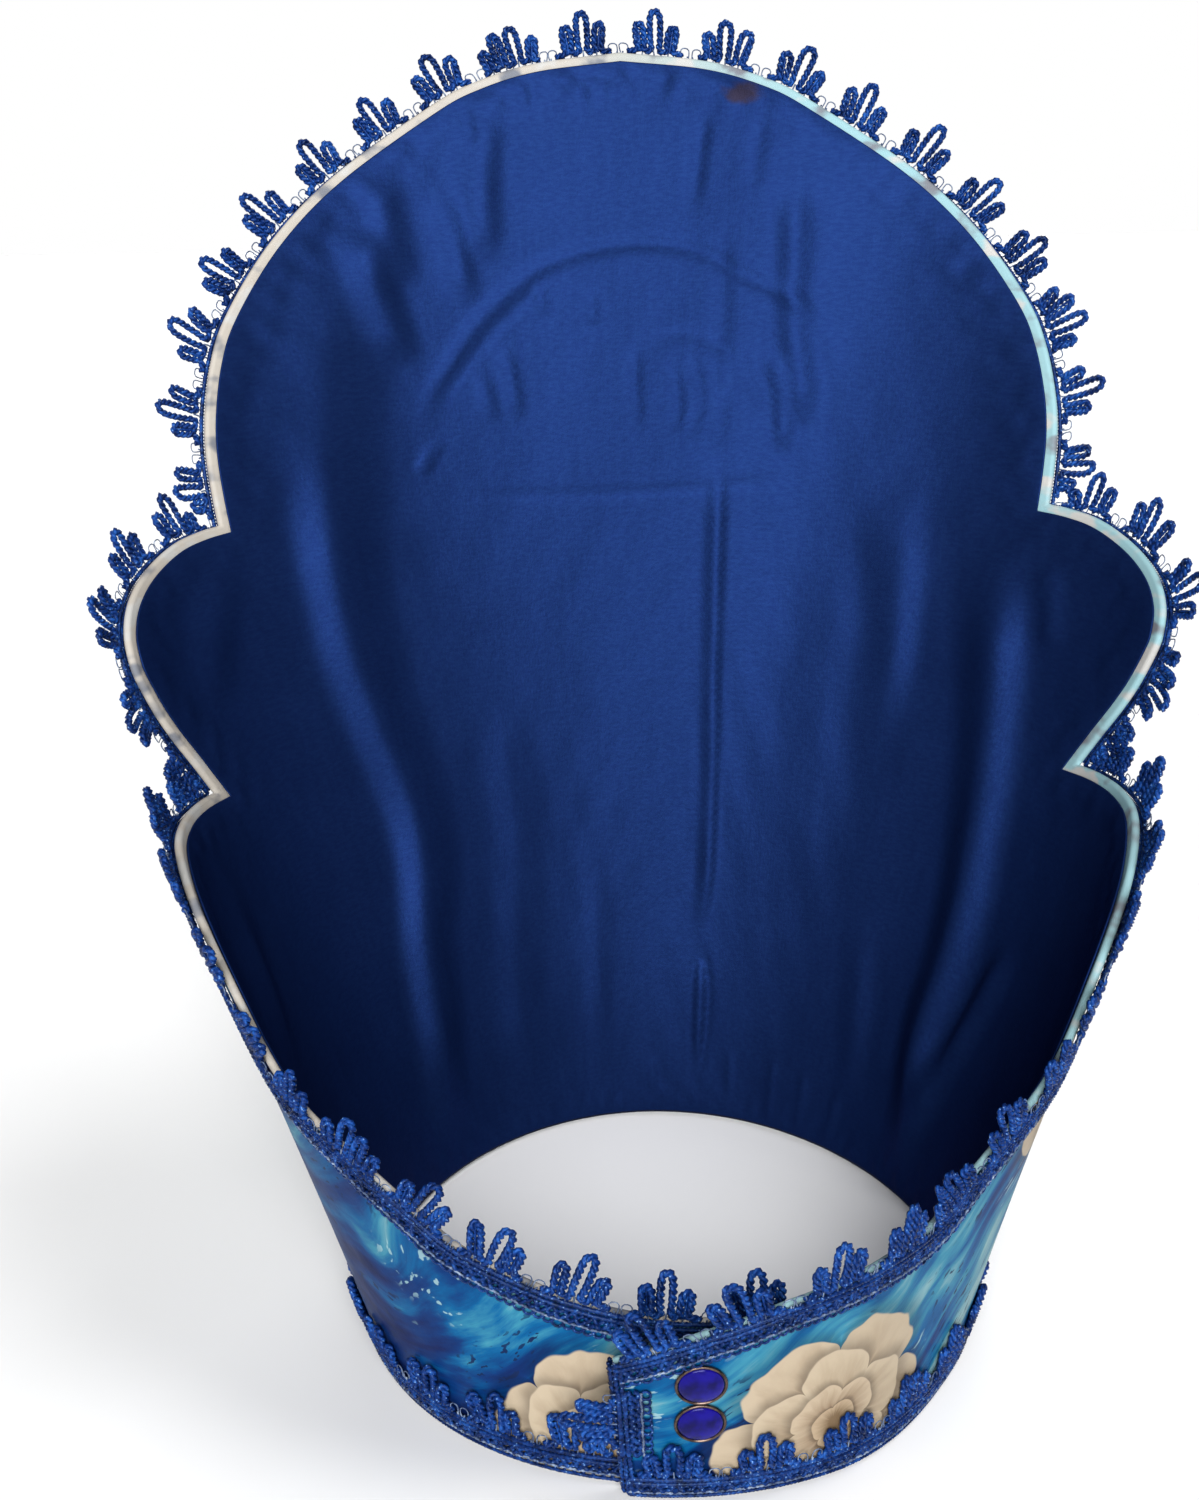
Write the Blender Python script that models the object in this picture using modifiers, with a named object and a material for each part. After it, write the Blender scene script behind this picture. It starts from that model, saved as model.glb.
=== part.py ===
"""Tall scalloped ceremonial crown: a stiff covered wall, a satin lining, pierced braid and two snaps.

The crown stands on its base ring with the tall front towards -Y. A "turn" is an angle round the
head from the middle of the front, positive towards the wearer's right, which is -X. The wall is
open at the back, where the right end, the flap, passes over the left end, the tab.
"""
import math

import bmesh
import bpy
import numpy as np
from mathutils import Matrix, Vector
from mathutils.geometry import delaunay_2d_cdt

MM = 0.001

# Base ring, measured over the cover
BASE_WIDTH = 171.0 * MM
BASE_DEPTH = 194.4 * MM
FRONT_NARROWING = 0.068  # share of the half width that moves from the front to the back

# Lean of the wall out of the vertical
FRONT_LEAN_DEG = 7.4
SIDE_LEAN_DEG = 18.9
BACK_LEAN_DEG = -1.0

# Heights of the rim
CROWN_HEIGHT = 347.0 * MM
UPPER_NOTCH_HEIGHT = 211.5 * MM
LOWER_NOTCH_HEIGHT = 141.5 * MM
BACK_HEIGHT = 47.5 * MM

# Turns of the rim
UPPER_NOTCH_TURN = 60.0
LOBE_TURN = 81.4
LOWER_NOTCH_TURN = 75.7
BACK_TURN = 180.0

# Stiff wall and its lining
WALL = 2.4 * MM
LINING = 1.0 * MM
FIT_GAP = 0.3 * MM
LINING_GAP = 0.5 * MM
LINING_INSET = 2.8 * MM
LINING_HEM = 1.2 * MM

# Closure at the back
FLAP_FOOT_TURN = 190.5
TAB_FOOT_TURN = 197.0
LAYER_CLEARANCE = 0.8 * MM
FLAP_LEAN_DEG = 13.0
STANDOFF_STARTS_TURN = 128.0
STANDOFF_ENDS_TURN = 160.0
LEAN_STARTS_TURN = 138.0
LEAN_ENDS_TURN = 176.0

# Braid
BRAID = 1.2 * MM
BRAID_GAP = 0.7 * MM
FAN_PITCH = 22.7 * MM
FAN_HEIGHT = 14.5 * MM
HEADER = 8.0 * MM
LOW_FAN_HEIGHT = 12.0 * MM
LOW_HEADER = 6.8 * MM
LOW_BRAID_RISE = 0.8 * MM
CLOSURE_HEADER = 8.0 * MM
BRAID_END_MARGIN = 0.6 * MM
NOTCH_CROWDING = 0.62  # a fan stands no higher than this share of its distance from a notch

# Snaps
SNAP_TURN = 180.0
SNAP_HEIGHTS = {"lower": 26.0 * MM, "upper": 38.7 * MM}
SNAP_RADIUS = 5.2 * MM
SNAP_DOME = 2.0 * MM
SNAP_EDGE = 0.7 * MM
SNAP_RIM_WIDTH = 0.6 * MM
SNAP_RIM_HEIGHT = 0.9 * MM
POST_RADIUS = 1.8 * MM
SNAP_SIDES = 16

# Mesh fineness
COLUMN_STEP = 8.6 * MM
ROW_STEP = 56.0 * MM
RIM_STEP = 7.5 * MM
LINING_COLUMN_STEP = 7.8 * MM
LINING_ROW_STEP = 38.0 * MM
GRID_MARGIN = 3.2 * MM

# Rim of the dome, from the middle of the front to the upper notch
# turn: share of UPPER_NOTCH_TURN, rise: share from the upper notch to the crown's height
DOME_RIM = (
    # turn, rise
    (0.000, 1.000),
    (0.200, 0.979),
    (0.333, 0.940),
    (0.433, 0.885),
    (0.617, 0.745),
    (0.750, 0.607),
    (0.867, 0.444),
    (0.917, 0.348),
    (0.958, 0.236),
    (0.980, 0.150),
    (0.993, 0.064),
    (1.000, 0.000),
)

# Rim of the side lobe, from the upper notch to the lower one
# turn: share from UPPER_NOTCH_TURN to LOBE_TURN, rise: share from the lower to the upper notch
LOBE_RIM = (
    # turn, rise
    (0.000, 1.000),
    (0.121, 0.993),
    (0.290, 0.973),
    (0.467, 0.930),
    (0.654, 0.869),
    (0.818, 0.793),
    (0.935, 0.703),
    (0.991, 0.607),
    (1.000, 0.535),
    (0.963, 0.386),
    (0.902, 0.264),
    (0.818, 0.136),
    (None, 0.000),
)

# Rim from the lower notch down to the back band
# turn: share from LOWER_NOTCH_TURN to BACK_TURN, rise: share from BACK_HEIGHT to the notch
SWEEP_RIM = (
    # turn, rise
    (0.000, 1.000),
    (0.044, 1.007),
    (0.094, 1.006),
    (0.147, 0.987),
    (0.195, 0.926),
    (0.243, 0.835),
    (0.281, 0.707),
    (0.310, 0.574),
    (0.338, 0.490),
    (0.377, 0.425),
    (0.425, 0.383),
    (0.482, 0.335),
    (0.569, 0.238),
    (0.636, 0.155),
)

# The two ends of the band go on from there with the same shares
TAB_RIM = (
    # turn, rise
    (0.703, 0.108),
    (0.808, 0.047),
    (0.914, 0.007),
    (1.000, -0.010),
    (1.158, -0.020),
)
FLAP_RIM = (
    # turn, rise
    (0.753, 0.151),
    (0.829, 0.148),
    (0.892, 0.138),
    (0.932, 0.116),
    (0.967, 0.091),
    (1.003, 0.064),
    (1.069, 0.008),
    (1.110, -0.021),
)

# Soft upright folds of the satin, which stand in from the wall
# turns in degrees, half_width in degrees, depth in millimetres, low and high: shares of CROWN_HEIGHT
LINING_FOLDS = (
    # low_turn, high_turn, half_width, depth, low, high
    (-55.0, -51.4, 9.0, 4.2, 0.02, 0.72),
    (-87.0, -64.6, 8.0, 2.6, 0.10, 0.56),
    (-33.0, -25.0, 7.0, 2.4, 0.02, 0.34),
    (14.0, 15.2, 4.0, 2.0, 0.03, 0.62),
    (73.5, 57.5, 8.0, 3.6, 0.04, 0.58),
    (51.0, 39.0, 7.0, 2.6, 0.04, 0.60),
    (83.5, 67.0, 6.0, 2.2, 0.06, 0.52),
    (-10.6, -9.0, 5.0, 1.6, 0.01, 0.30),
)

# One fan of the rim braid: three looped lobes over a header
# along: share of the pitch, up: share of the fan height, or of the header depth where negative
FAN_OUTLINE = (
    # along, up
    (0.00, 0.10),
    (0.16, 0.10),
    (0.09, 0.50),
    (0.20, 0.68),
    (0.33, 0.42),
    (0.42, 1.00),
    (0.58, 1.00),
    (0.67, 0.42),
    (0.80, 0.68),
    (0.91, 0.50),
    (0.84, 0.10),
    (1.00, 0.10),
    (1.00, -1.00),
    (0.50, -0.90),
    (0.00, -1.00),
)
FAN_GAPS = (
    ((0.46, 0.34), (0.46, 0.80), (0.54, 0.80), (0.54, 0.34)),
    ((0.30, -0.30), (0.30, -0.62), (0.70, -0.62), (0.70, -0.30)),
)

# One fan of the braid along the base, with the header at the bottom
LOW_FAN_OUTLINE = (
    # along, up
    (0.00, 0.12),
    (0.16, 0.12),
    (0.12, 0.62),
    (0.33, 0.48),
    (0.42, 1.00),
    (0.58, 1.00),
    (0.67, 0.48),
    (0.88, 0.62),
    (0.84, 0.12),
    (1.00, 0.12),
    (1.00, -1.00),
    (0.50, -1.00),
    (0.00, -1.00),
)
LOW_FAN_GAPS = (
    ((0.45, 0.20), (0.45, 0.76), (0.55, 0.76), (0.55, 0.20)),
)

FRONT_SLOPE = math.tan(math.radians(FRONT_LEAN_DEG))
SIDE_SLOPE = math.tan(math.radians(SIDE_LEAN_DEG))
BACK_SLOPE = math.tan(math.radians(BACK_LEAN_DEG))
FLAP_SLOPE = math.tan(math.radians(FLAP_LEAN_DEG))
LINING_DEPTH = WALL + LINING_GAP
FLAP_STANDOFF = LINING_DEPTH + LINING + LAYER_CLEARANCE


def smooth(value, start, end):
    share = np.clip((value - start) / (end - start), 0.0, 1.0)
    return share * share * (3.0 - 2.0 * share)


def wall_point(turn, height):
    """Point of the cover's outer face; turn in degrees, both may be arrays."""
    angle = np.radians(turn)
    ends = FRONT_SLOPE - BACK_SLOPE
    mean = (FRONT_SLOPE + BACK_SLOPE + 2.0 * SIDE_SLOPE) / 4.0
    quarter = (FRONT_SLOPE + BACK_SLOPE - 2.0 * SIDE_SLOPE) / 4.0
    slope = mean + ends / 2.0 * np.cos(angle) + quarter * np.cos(2.0 * angle)
    standoff = FLAP_STANDOFF * smooth(turn, STANDOFF_STARTS_TURN, STANDOFF_ENDS_TURN)
    standoff = standoff + FLAP_SLOPE * height * smooth(turn, LEAN_STARTS_TURN, LEAN_ENDS_TURN)
    half_width = BASE_WIDTH / 2.0 * (1.0 - FRONT_NARROWING * np.cos(angle))
    reach = height * slope + standoff
    return np.stack(
        [-(half_width + reach) * np.sin(angle), -(BASE_DEPTH / 2.0 + reach) * np.cos(angle), height + 0.0 * angle],
        axis=-1,
    )


def frame_at(turn, height):
    """Surface steps per degree and per metre of height, and the outward normal."""
    small_turn = 0.05
    small_height = 0.1 * MM
    per_turn = (wall_point(turn + small_turn, height) - wall_point(turn - small_turn, height)) / (2 * small_turn)
    per_height = (wall_point(turn, height + small_height) - wall_point(turn, height - small_height)) / (
        2 * small_height
    )
    normal = np.cross(per_height, per_turn)
    return per_turn, per_height, normal / np.linalg.norm(normal, axis=-1, keepdims=True)


def lifted_point(turn, height, lift):
    """Point at a distance lift outside the cover, or inside it where lift is negative."""
    normal = frame_at(turn, height)[2]
    return wall_point(turn, height) + normal * np.reshape(lift, np.shape(turn) + (1,))


def spline(rows, steps=12):
    """Smooth curve through the rows, as an array of points."""
    rows = np.array(rows, float)
    padded = np.vstack([2 * rows[0] - rows[1], rows, 2 * rows[-1] - rows[-2]])
    points = []
    for before, start, end, after in zip(padded, padded[1:], padded[2:], padded[3:]):
        for t in np.arange(steps) / steps:
            points.append(
                0.5
                * (
                    2 * start
                    + (end - before) * t
                    + (2 * before - 5 * start + 4 * end - after) * t**2
                    + (3 * start - before - 3 * end + after) * t**3
                )
            )
    points.append(rows[-1])
    return np.array(points)


def stretch(rows, turn_from, turn_to, height_from, height_to, last_turn=None):
    """Rim points in degrees and metres from a table of shares."""
    placed = []
    for turn_share, rise_share in rows:
        turn = last_turn if turn_share is None else turn_from + (turn_to - turn_from) * turn_share
        placed.append((turn, height_from + (height_to - height_from) * rise_share))
    return spline(placed)


def half_rim(end_rows):
    """The three stretches of one half of the rim, from the front to the end of the band."""
    dome = stretch(DOME_RIM, 0.0, UPPER_NOTCH_TURN, UPPER_NOTCH_HEIGHT, CROWN_HEIGHT)
    lobe = stretch(
        LOBE_RIM, UPPER_NOTCH_TURN, LOBE_TURN, LOWER_NOTCH_HEIGHT, UPPER_NOTCH_HEIGHT, LOWER_NOTCH_TURN
    )
    band = stretch(SWEEP_RIM + end_rows, LOWER_NOTCH_TURN, BACK_TURN, BACK_HEIGHT, LOWER_NOTCH_HEIGHT)
    return [dome, lobe, band]


def mirrored(points):
    return points[::-1] * np.array([-1.0, 1.0])


class Route:
    """A line drawn on the cover, made of smooth stretches that meet at notches."""

    def __init__(self, stretches):
        self.stretches = stretches
        self.lengths = []
        self.marks = []
        for points in stretches:
            placed = wall_point(points[:, 0], points[:, 1])
            steps = np.linalg.norm(np.diff(placed, axis=0), axis=1)
            marks = np.concatenate([[0.0], np.cumsum(steps)])
            self.marks.append(marks)
            self.lengths.append(marks[-1])

    def locate(self, index, along):
        points = self.stretches[index]
        marks = self.marks[index]
        return np.array([np.interp(along, marks, points[:, 0]), np.interp(along, marks, points[:, 1])])

    def outward(self, index, along):
        """Unit step away from the cloth, lying in the cover's surface."""
        small = 0.4 * MM
        low = self.locate(index, max(along - small, 0.0))
        high = self.locate(index, min(along + small, self.lengths[index]))
        tangent = wall_point(high[0], high[1]) - wall_point(low[0], low[1])
        normal = frame_at(*self.locate(index, along))[2]
        step = np.cross(tangent, normal)
        return step / np.linalg.norm(step)

    def notch_step(self, index, along):
        """The outward step, mitred where two stretches meet."""
        step = self.outward(index, along)
        other = None
        if along >= self.lengths[index] and index + 1 < len(self.stretches):
            other = self.outward(index + 1, 0.0)
        if along <= 0.0 and index > 0:
            other = self.outward(index - 1, self.lengths[index - 1])
        if other is None:
            return step
        return (step + other) / (1.0 + float(np.dot(step, other)))

    def notch_distance(self, index, along):
        distances = [math.inf]
        if index > 0:
            distances.append(along)
        if index + 1 < len(self.stretches):
            distances.append(self.lengths[index] - along)
        return min(distances)

    def offset(self, index, along, away):
        """Turn and height of the point that lies away from the line, in the surface."""
        turn, height = self.locate(index, along)
        step = self.notch_step(index, along) * away
        per_turn, per_height, _ = frame_at(turn, height)
        shares = np.linalg.lstsq(np.stack([per_turn, per_height], axis=1), step, rcond=None)[0]
        return np.array([turn + shares[0], height + shares[1]])


def evenly(length, step):
    return np.linspace(0.0, length, max(2, round(length / step) + 1))


def offset_line(route, step, away):
    """Points along the whole route, moved away from it."""
    points = []
    for index, length in enumerate(route.lengths):
        for along in evenly(length, step)[(1 if index else 0):]:
            points.append(route.offset(index, along, away))
    return points


def flat_plan(points):
    """Turns and heights as a plan in metres, so that triangles come out well shaped."""
    points = np.array(points, float)
    return np.stack([np.radians(points[:, 0]) * BASE_DEPTH / 2.0, points[:, 1]], axis=-1)


def inside(points, outline):
    """Which points lie inside a closed outline, and how far from its edge they are."""
    start = outline
    end = np.roll(outline, -1, axis=0)
    edge = end - start
    crossing = np.zeros(len(points), bool)
    for a, b in zip(start, end):
        spans = (a[1] > points[:, 1]) != (b[1] > points[:, 1])
        rise = b[1] - a[1]
        at = a[0] + (points[:, 1] - a[1]) * (b[0] - a[0]) / (rise if rise else 1.0)
        crossing ^= spans & (points[:, 0] < at)
    offsets = points[:, None, :] - start[None]
    share = np.clip((offsets * edge).sum(-1) / (edge * edge).sum(-1), 0.0, 1.0)
    nearest = np.linalg.norm(offsets - share[..., None] * edge, axis=-1).min(axis=1)
    return crossing, nearest


def triangulate(loops, loose=()):
    """Triangles inside closed loops, the first the outline and the others gaps in it."""
    vertices = []
    edges = []
    for loop in loops:
        first = len(vertices)
        vertices += [Vector(point) for point in loop]
        edges += [(first + i, first + (i + 1) % len(loop)) for i in range(len(loop))]
    vertices += [Vector(point) for point in loose]
    placed, _, faces, origins, _, _ = delaunay_2d_cdt(vertices, edges, [], 2 if len(loops) > 1 else 1, 1e-7)
    return placed, faces, [origin[0] for origin in origins]


def mesh_object(name, vertices, faces, outward_lift):
    """Object from a triangulated sheet, its faces turned outwards, and thickened."""
    mesh = bpy.data.meshes.new(name)
    mesh.from_pydata([tuple(v) for v in vertices], [], [tuple(f) for f in faces])
    item = bpy.data.objects.new(name, mesh)
    parts.objects.link(item)
    item.parent = root
    mesh.update()
    if sum(face.normal.dot(Vector((face.center.x, face.center.y, 0.0))) * face.area for face in mesh.polygons) < 0:
        mesh.flip_normals()
    thick = item.modifiers.new("Thickness", "SOLIDIFY")
    thick.thickness = abs(outward_lift)
    thick.offset = 1.0 if outward_lift > 0 else -1.0
    thick.use_even_offset = True
    thick.use_quality_normals = True
    return item


def sheet_object(name, outline, column_step, row_step, lift, thickness):
    """Cloth sheet with the outline, which lies at lift(turn, height) from the cover."""
    outline = np.array(outline)
    plan = flat_plan(outline)
    low_turn = outline[:, 0].min()
    high_turn = outline[:, 0].max()
    turn_step = math.degrees(column_step / (BASE_DEPTH / 2.0))
    columns = np.arange(math.ceil(low_turn / turn_step), math.floor(high_turn / turn_step) + 1) * turn_step
    rows = np.arange(row_step / 2.0, outline[:, 1].max(), row_step)
    grid = np.array([(turn, height) for turn in columns for height in rows])
    kept, distance = inside(flat_plan(grid), plan)
    grid = grid[kept & (distance > GRID_MARGIN)]
    squash = np.array([1.0, column_step / row_step])
    placed, faces, origins = triangulate([plan * squash], flat_plan(grid) * squash)
    everything = np.vstack([outline, grid])[origins]
    turns = everything[:, 0]
    heights = everything[:, 1]
    vertices = lifted_point(turns, heights, lift(turns, heights))
    return mesh_object(name, vertices, faces, thickness)


def sheet_outline(route, inset, foot_height, column_step):
    """Closed outline of a sheet that follows the rim and ends at foot_height."""
    rim = offset_line(route, RIM_STEP, -inset)
    first = rim[0]
    last = rim[-1]
    inset_turn = math.degrees(inset / (BASE_DEPTH / 2.0))
    tab_foot = -TAB_FOOT_TURN + inset_turn
    flap_foot = FLAP_FOOT_TURN - inset_turn
    rim[0] = np.array([tab_foot + (first[0] + TAB_FOOT_TURN), first[1]])
    rim[0][0] = max(rim[0][0], tab_foot)
    rim[-1] = np.array([last[0] - inset_turn, last[1]])
    turn_step = math.degrees(column_step / (BASE_DEPTH / 2.0))
    inner = np.arange(math.ceil(tab_foot / turn_step), math.floor(flap_foot / turn_step) + 1) * turn_step
    inner = inner[(inner > tab_foot + turn_step / 3.0) & (inner < flap_foot - turn_step / 3.0)]
    foot = [np.array([turn, foot_height]) for turn in [flap_foot, *inner[::-1], tab_foot]]
    return rim + foot


def fold_depth(turns, heights):
    """How far the satin stands in from the wall."""
    depth = np.zeros(np.shape(turns))
    for low_turn, high_turn, half_width, crest, low, high in LINING_FOLDS:
        share = np.clip((heights / CROWN_HEIGHT - low) / (high - low), 0.0, 1.0)
        middle = low_turn + (high_turn - low_turn) * share
        across = np.clip(np.abs(turns - middle) / half_width, 0.0, 1.0)
        along = np.sin(np.pi * share) ** 0.5
        depth = np.maximum(depth, crest * MM * np.cos(across * np.pi / 2.0) ** 2 * along)
    return depth


def braid_object(name, route, outline, gaps, fan_height, header, pitch):
    """Pierced braid along the route: fans away from the cloth, the header lying on it."""

    def plan(rows):
        return [(along * pitch, up * (fan_height if up > 0 else header)) for along, up in rows]

    loops = [plan(outline)] + [plan(gap) for gap in gaps]
    placed, faces, _ = triangulate(loops)
    vertices = []
    all_faces = []
    for index, length in enumerate(route.lengths):
        count = max(1, round(length / pitch))
        for fan in range(count):
            first = len(vertices)
            for point in placed:
                along = min((fan + point.x / pitch) * length / count, length)
                room = min(1.0, NOTCH_CROWDING * route.notch_distance(index, along) / fan_height)
                away = point.y * room if point.y > 0 else point.y
                turn, height = route.offset(index, along, away)
                vertices.append(lifted_point(turn, height, BRAID_GAP))
            all_faces += [[first + corner for corner in face] for face in faces]
    item = mesh_object(name, vertices, all_faces, BRAID)
    item.modifiers["Thickness"].use_even_offset = False
    work = bmesh.new()
    work.from_mesh(item.data)
    bmesh.ops.remove_doubles(work, verts=work.verts, dist=0.02 * MM)
    work.to_mesh(item.data)
    work.free()
    return item


def turned_object(name, profile, place):
    """Object turned round the outward normal of the flap."""
    mesh = bpy.data.meshes.new(name)
    mesh.from_pydata([(radius, 0.0, rise) for radius, rise in profile], [(i, i + 1) for i in range(len(profile) - 1)], [])
    item = bpy.data.objects.new(name, mesh)
    parts.objects.link(item)
    item.parent = root
    item.matrix_local = place
    screw = item.modifiers.new("Turn", "SCREW")
    screw.steps = SNAP_SIDES
    screw.render_steps = SNAP_SIDES
    screw.use_merge_vertices = True
    screw.merge_threshold = 0.00001
    return item


def snap_place(height):
    """Matrix whose +Z is the flap's outward normal at a snap."""
    normal = Vector(frame_at(SNAP_TURN, height)[2])
    point = Vector(lifted_point(SNAP_TURN, height, FIT_GAP))
    return Matrix.Translation(point) @ normal.to_track_quat("Z", "Y").to_matrix().to_4x4()


def post_reach(height):
    """Length of the hidden post, from the cap's back to just clear of the tab and its braid."""
    between = FLAP_STANDOFF + FLAP_SLOPE * height
    return (between - FIT_GAP - BRAID_GAP - BRAID) * math.cos(math.radians(FLAP_LEAN_DEG))


def snap_cap(name, height):
    steps = 4
    dome = [
        (SNAP_RADIUS * math.sin(math.pi / 2 * i / steps), SNAP_EDGE + SNAP_DOME * math.cos(math.pi / 2 * i / steps))
        for i in range(steps + 1)
    ]
    reach = post_reach(height)
    back = [(SNAP_RADIUS, 0.0), (POST_RADIUS, 0.0), (POST_RADIUS, -reach), (0.0, -reach)]
    return turned_object(name, dome + back, snap_place(height))


def snap_rim(name, height):
    inner = SNAP_RADIUS + FIT_GAP
    outer = inner + SNAP_RIM_WIDTH
    middle = (inner + outer) / 2.0
    profile = [(middle, SNAP_RIM_HEIGHT), (outer, SNAP_RIM_HEIGHT * 0.6), (outer, 0.0), (inner, 0.0)]
    profile += [(inner, SNAP_RIM_HEIGHT * 0.6), (middle, SNAP_RIM_HEIGHT)]
    return turned_object(name, profile, snap_place(height))


def post_cutter(name, height):
    """Clearance hole for a snap's post, through the flap and its lining only."""
    outside = 2.0 * MM
    depth = LINING_DEPTH + LINING + LAYER_CLEARANCE / 2.0
    bpy.ops.mesh.primitive_cylinder_add(vertices=10, radius=POST_RADIUS + FIT_GAP, depth=depth + outside)
    item = bpy.context.object
    item.name = name
    item.parent = root
    item.matrix_local = snap_place(height) @ Matrix.Translation((0.0, 0.0, (outside - depth) / 2.0))
    as_cutter(item)
    return item


def floor_cutter():
    """Block under the crown, which leaves the wall a flat foot."""
    side = 4.0 * BASE_DEPTH
    bpy.ops.mesh.primitive_cube_add(size=side, location=(0.0, 0.0, -side / 2.0))
    item = bpy.context.object
    item.name = "floor_cutter"
    item.parent = root
    as_cutter(item)
    return item


def as_cutter(item):
    for collection in list(item.users_collection):
        collection.objects.unlink(item)
    cutters.objects.link(item)
    item.hide_render = True
    item.display_type = "WIRE"


def cut(item, cutter):
    change = item.modifiers.new(cutter.name, "BOOLEAN")
    change.operation = "DIFFERENCE"
    change.object = cutter


def material(item, name, color, roughness, metallic=0.0):
    finish = bpy.data.materials.get(name) or bpy.data.materials.new(name)
    finish.use_nodes = True
    shader = finish.node_tree.nodes["Principled BSDF"]
    shader.inputs["Base Color"].default_value = (*color, 1.0)
    shader.inputs["Roughness"].default_value = roughness
    shader.inputs["Metallic"].default_value = metallic
    item.data.materials.append(finish)


def stand_on_origin():
    """Moves the crown so that the middle of its box's foot is at the origin."""
    bpy.context.view_layer.update()
    depsgraph = bpy.context.evaluated_depsgraph_get()
    corners = []
    for item in parts.objects:
        if item.type == "MESH":
            evaluated = item.evaluated_get(depsgraph)
            corners += [evaluated.matrix_world @ vertex.co for vertex in evaluated.data.vertices]
    spread = np.array([tuple(corner) for corner in corners])
    middle = (spread.min(axis=0) + spread.max(axis=0)) / 2.0
    root.location = (-middle[0], -middle[1], -spread[:, 2].min())


for old in list(bpy.data.objects):
    bpy.data.objects.remove(old, do_unlink=True)

parts = bpy.data.collections.new("ceremonial_crown")
cutters = bpy.data.collections.new("cutters")
bpy.context.scene.collection.children.link(parts)
bpy.context.scene.collection.children.link(cutters)
root = bpy.data.objects.new("crown_root", None)
parts.objects.link(root)

left_half = [mirrored(points) for points in half_rim(TAB_RIM)[::-1]]
right_half = half_rim(FLAP_RIM)
whole_dome = np.vstack([left_half[-1], right_half[0][1:]])
rim_route = Route(left_half[:-1] + [whole_dome] + right_half[1:])
flap_top = right_half[-1][-1]

# Stiff wall under the printed cover
below_floor = -2.0 * MM
wall_outline = sheet_outline(rim_route, 0.0, below_floor, COLUMN_STEP)
crown_wall = sheet_object(
    "crown_wall", wall_outline, COLUMN_STEP, ROW_STEP, lambda turns, heights: 0.0 * turns, -WALL
)
material(crown_wall, "printed_cover", (0.10, 0.34, 0.62), 0.45)

# Satin lining
lining_outline = sheet_outline(rim_route, LINING_INSET, LINING_HEM, LINING_COLUMN_STEP)
lining = sheet_object(
    "lining",
    lining_outline,
    LINING_COLUMN_STEP,
    LINING_ROW_STEP,
    lambda turns, heights: -LINING_DEPTH - fold_depth(turns, heights),
    -LINING,
)
material(lining, "satin", (0.01, 0.06, 0.35), 0.35)

# Braid round the rim, along the base and down the flap's end
top_lace = braid_object("top_lace", rim_route, FAN_OUTLINE, FAN_GAPS, FAN_HEIGHT, HEADER, FAN_PITCH)
low_line = LOW_BRAID_RISE + LOW_HEADER
end_turn = math.degrees(BRAID_END_MARGIN / (BASE_DEPTH / 2.0))
low_turns = np.linspace(-(360.0 - FLAP_FOOT_TURN) + 5.0, FLAP_FOOT_TURN - end_turn, 181)
low_route = Route([np.stack([low_turns, low_line + 0.0 * low_turns], axis=-1)])
bottom_lace = braid_object(
    "bottom_lace", low_route, LOW_FAN_OUTLINE, LOW_FAN_GAPS, LOW_FAN_HEIGHT, LOW_HEADER, FAN_PITCH
)
closure_top = flap_top[1] - HEADER - 2 * FIT_GAP
closure_foot = low_line + FIT_GAP + LOW_FAN_HEIGHT * 0.62
flap_edge_turn = FLAP_FOOT_TURN + (flap_top[0] - FLAP_FOOT_TURN) * 0.5
closure_heights = np.linspace(closure_top, closure_foot, 21)
closure_route = Route([np.stack([flap_edge_turn + 0.0 * closure_heights, closure_heights], axis=-1)])
closure_lace = braid_object(
    "closure_lace", closure_route, FAN_OUTLINE, FAN_GAPS, FAN_HEIGHT, CLOSURE_HEADER, closure_top - closure_foot
)
for lace in (top_lace, bottom_lace, closure_lace):
    material(lace, "braid", (0.01, 0.08, 0.45), 0.5)

# Snaps on the flap
floor_block = floor_cutter()
for level, snap_height in SNAP_HEIGHTS.items():
    material(snap_cap("snap_cap_" + level, snap_height), "snap_gloss", (0.02, 0.02, 0.22), 0.12)
    material(snap_rim("snap_rim_" + level, snap_height), "snap_bronze", (0.28, 0.2, 0.16), 0.35, 1.0)
    post_hole = post_cutter("post_cutter_" + level, snap_height)
    cut(crown_wall, post_hole)
    cut(lining, post_hole)
cut(crown_wall, floor_block)

stand_on_origin()
for part in parts.objects:
    if part.type == "MESH":
        part.data.shade_smooth()
        part.data.set_sharp_from_angle(angle=math.radians(40))
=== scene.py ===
"""Looks of the ceremonial crown: printed cover, satin lining, stitched braid and snaps.

A "turn" is an angle round the head from the middle of the front, positive towards the wearer's
right, which is -X. The cover's outer face is a function of turn and height, and every soft piece
is drawn on it: along the rim, away from the cloth, and lifted off the cover.
"""
import math

import bmesh
import bpy
import numpy as np
from mathutils import Matrix, Vector
from mathutils.geometry import delaunay_2d_cdt


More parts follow.
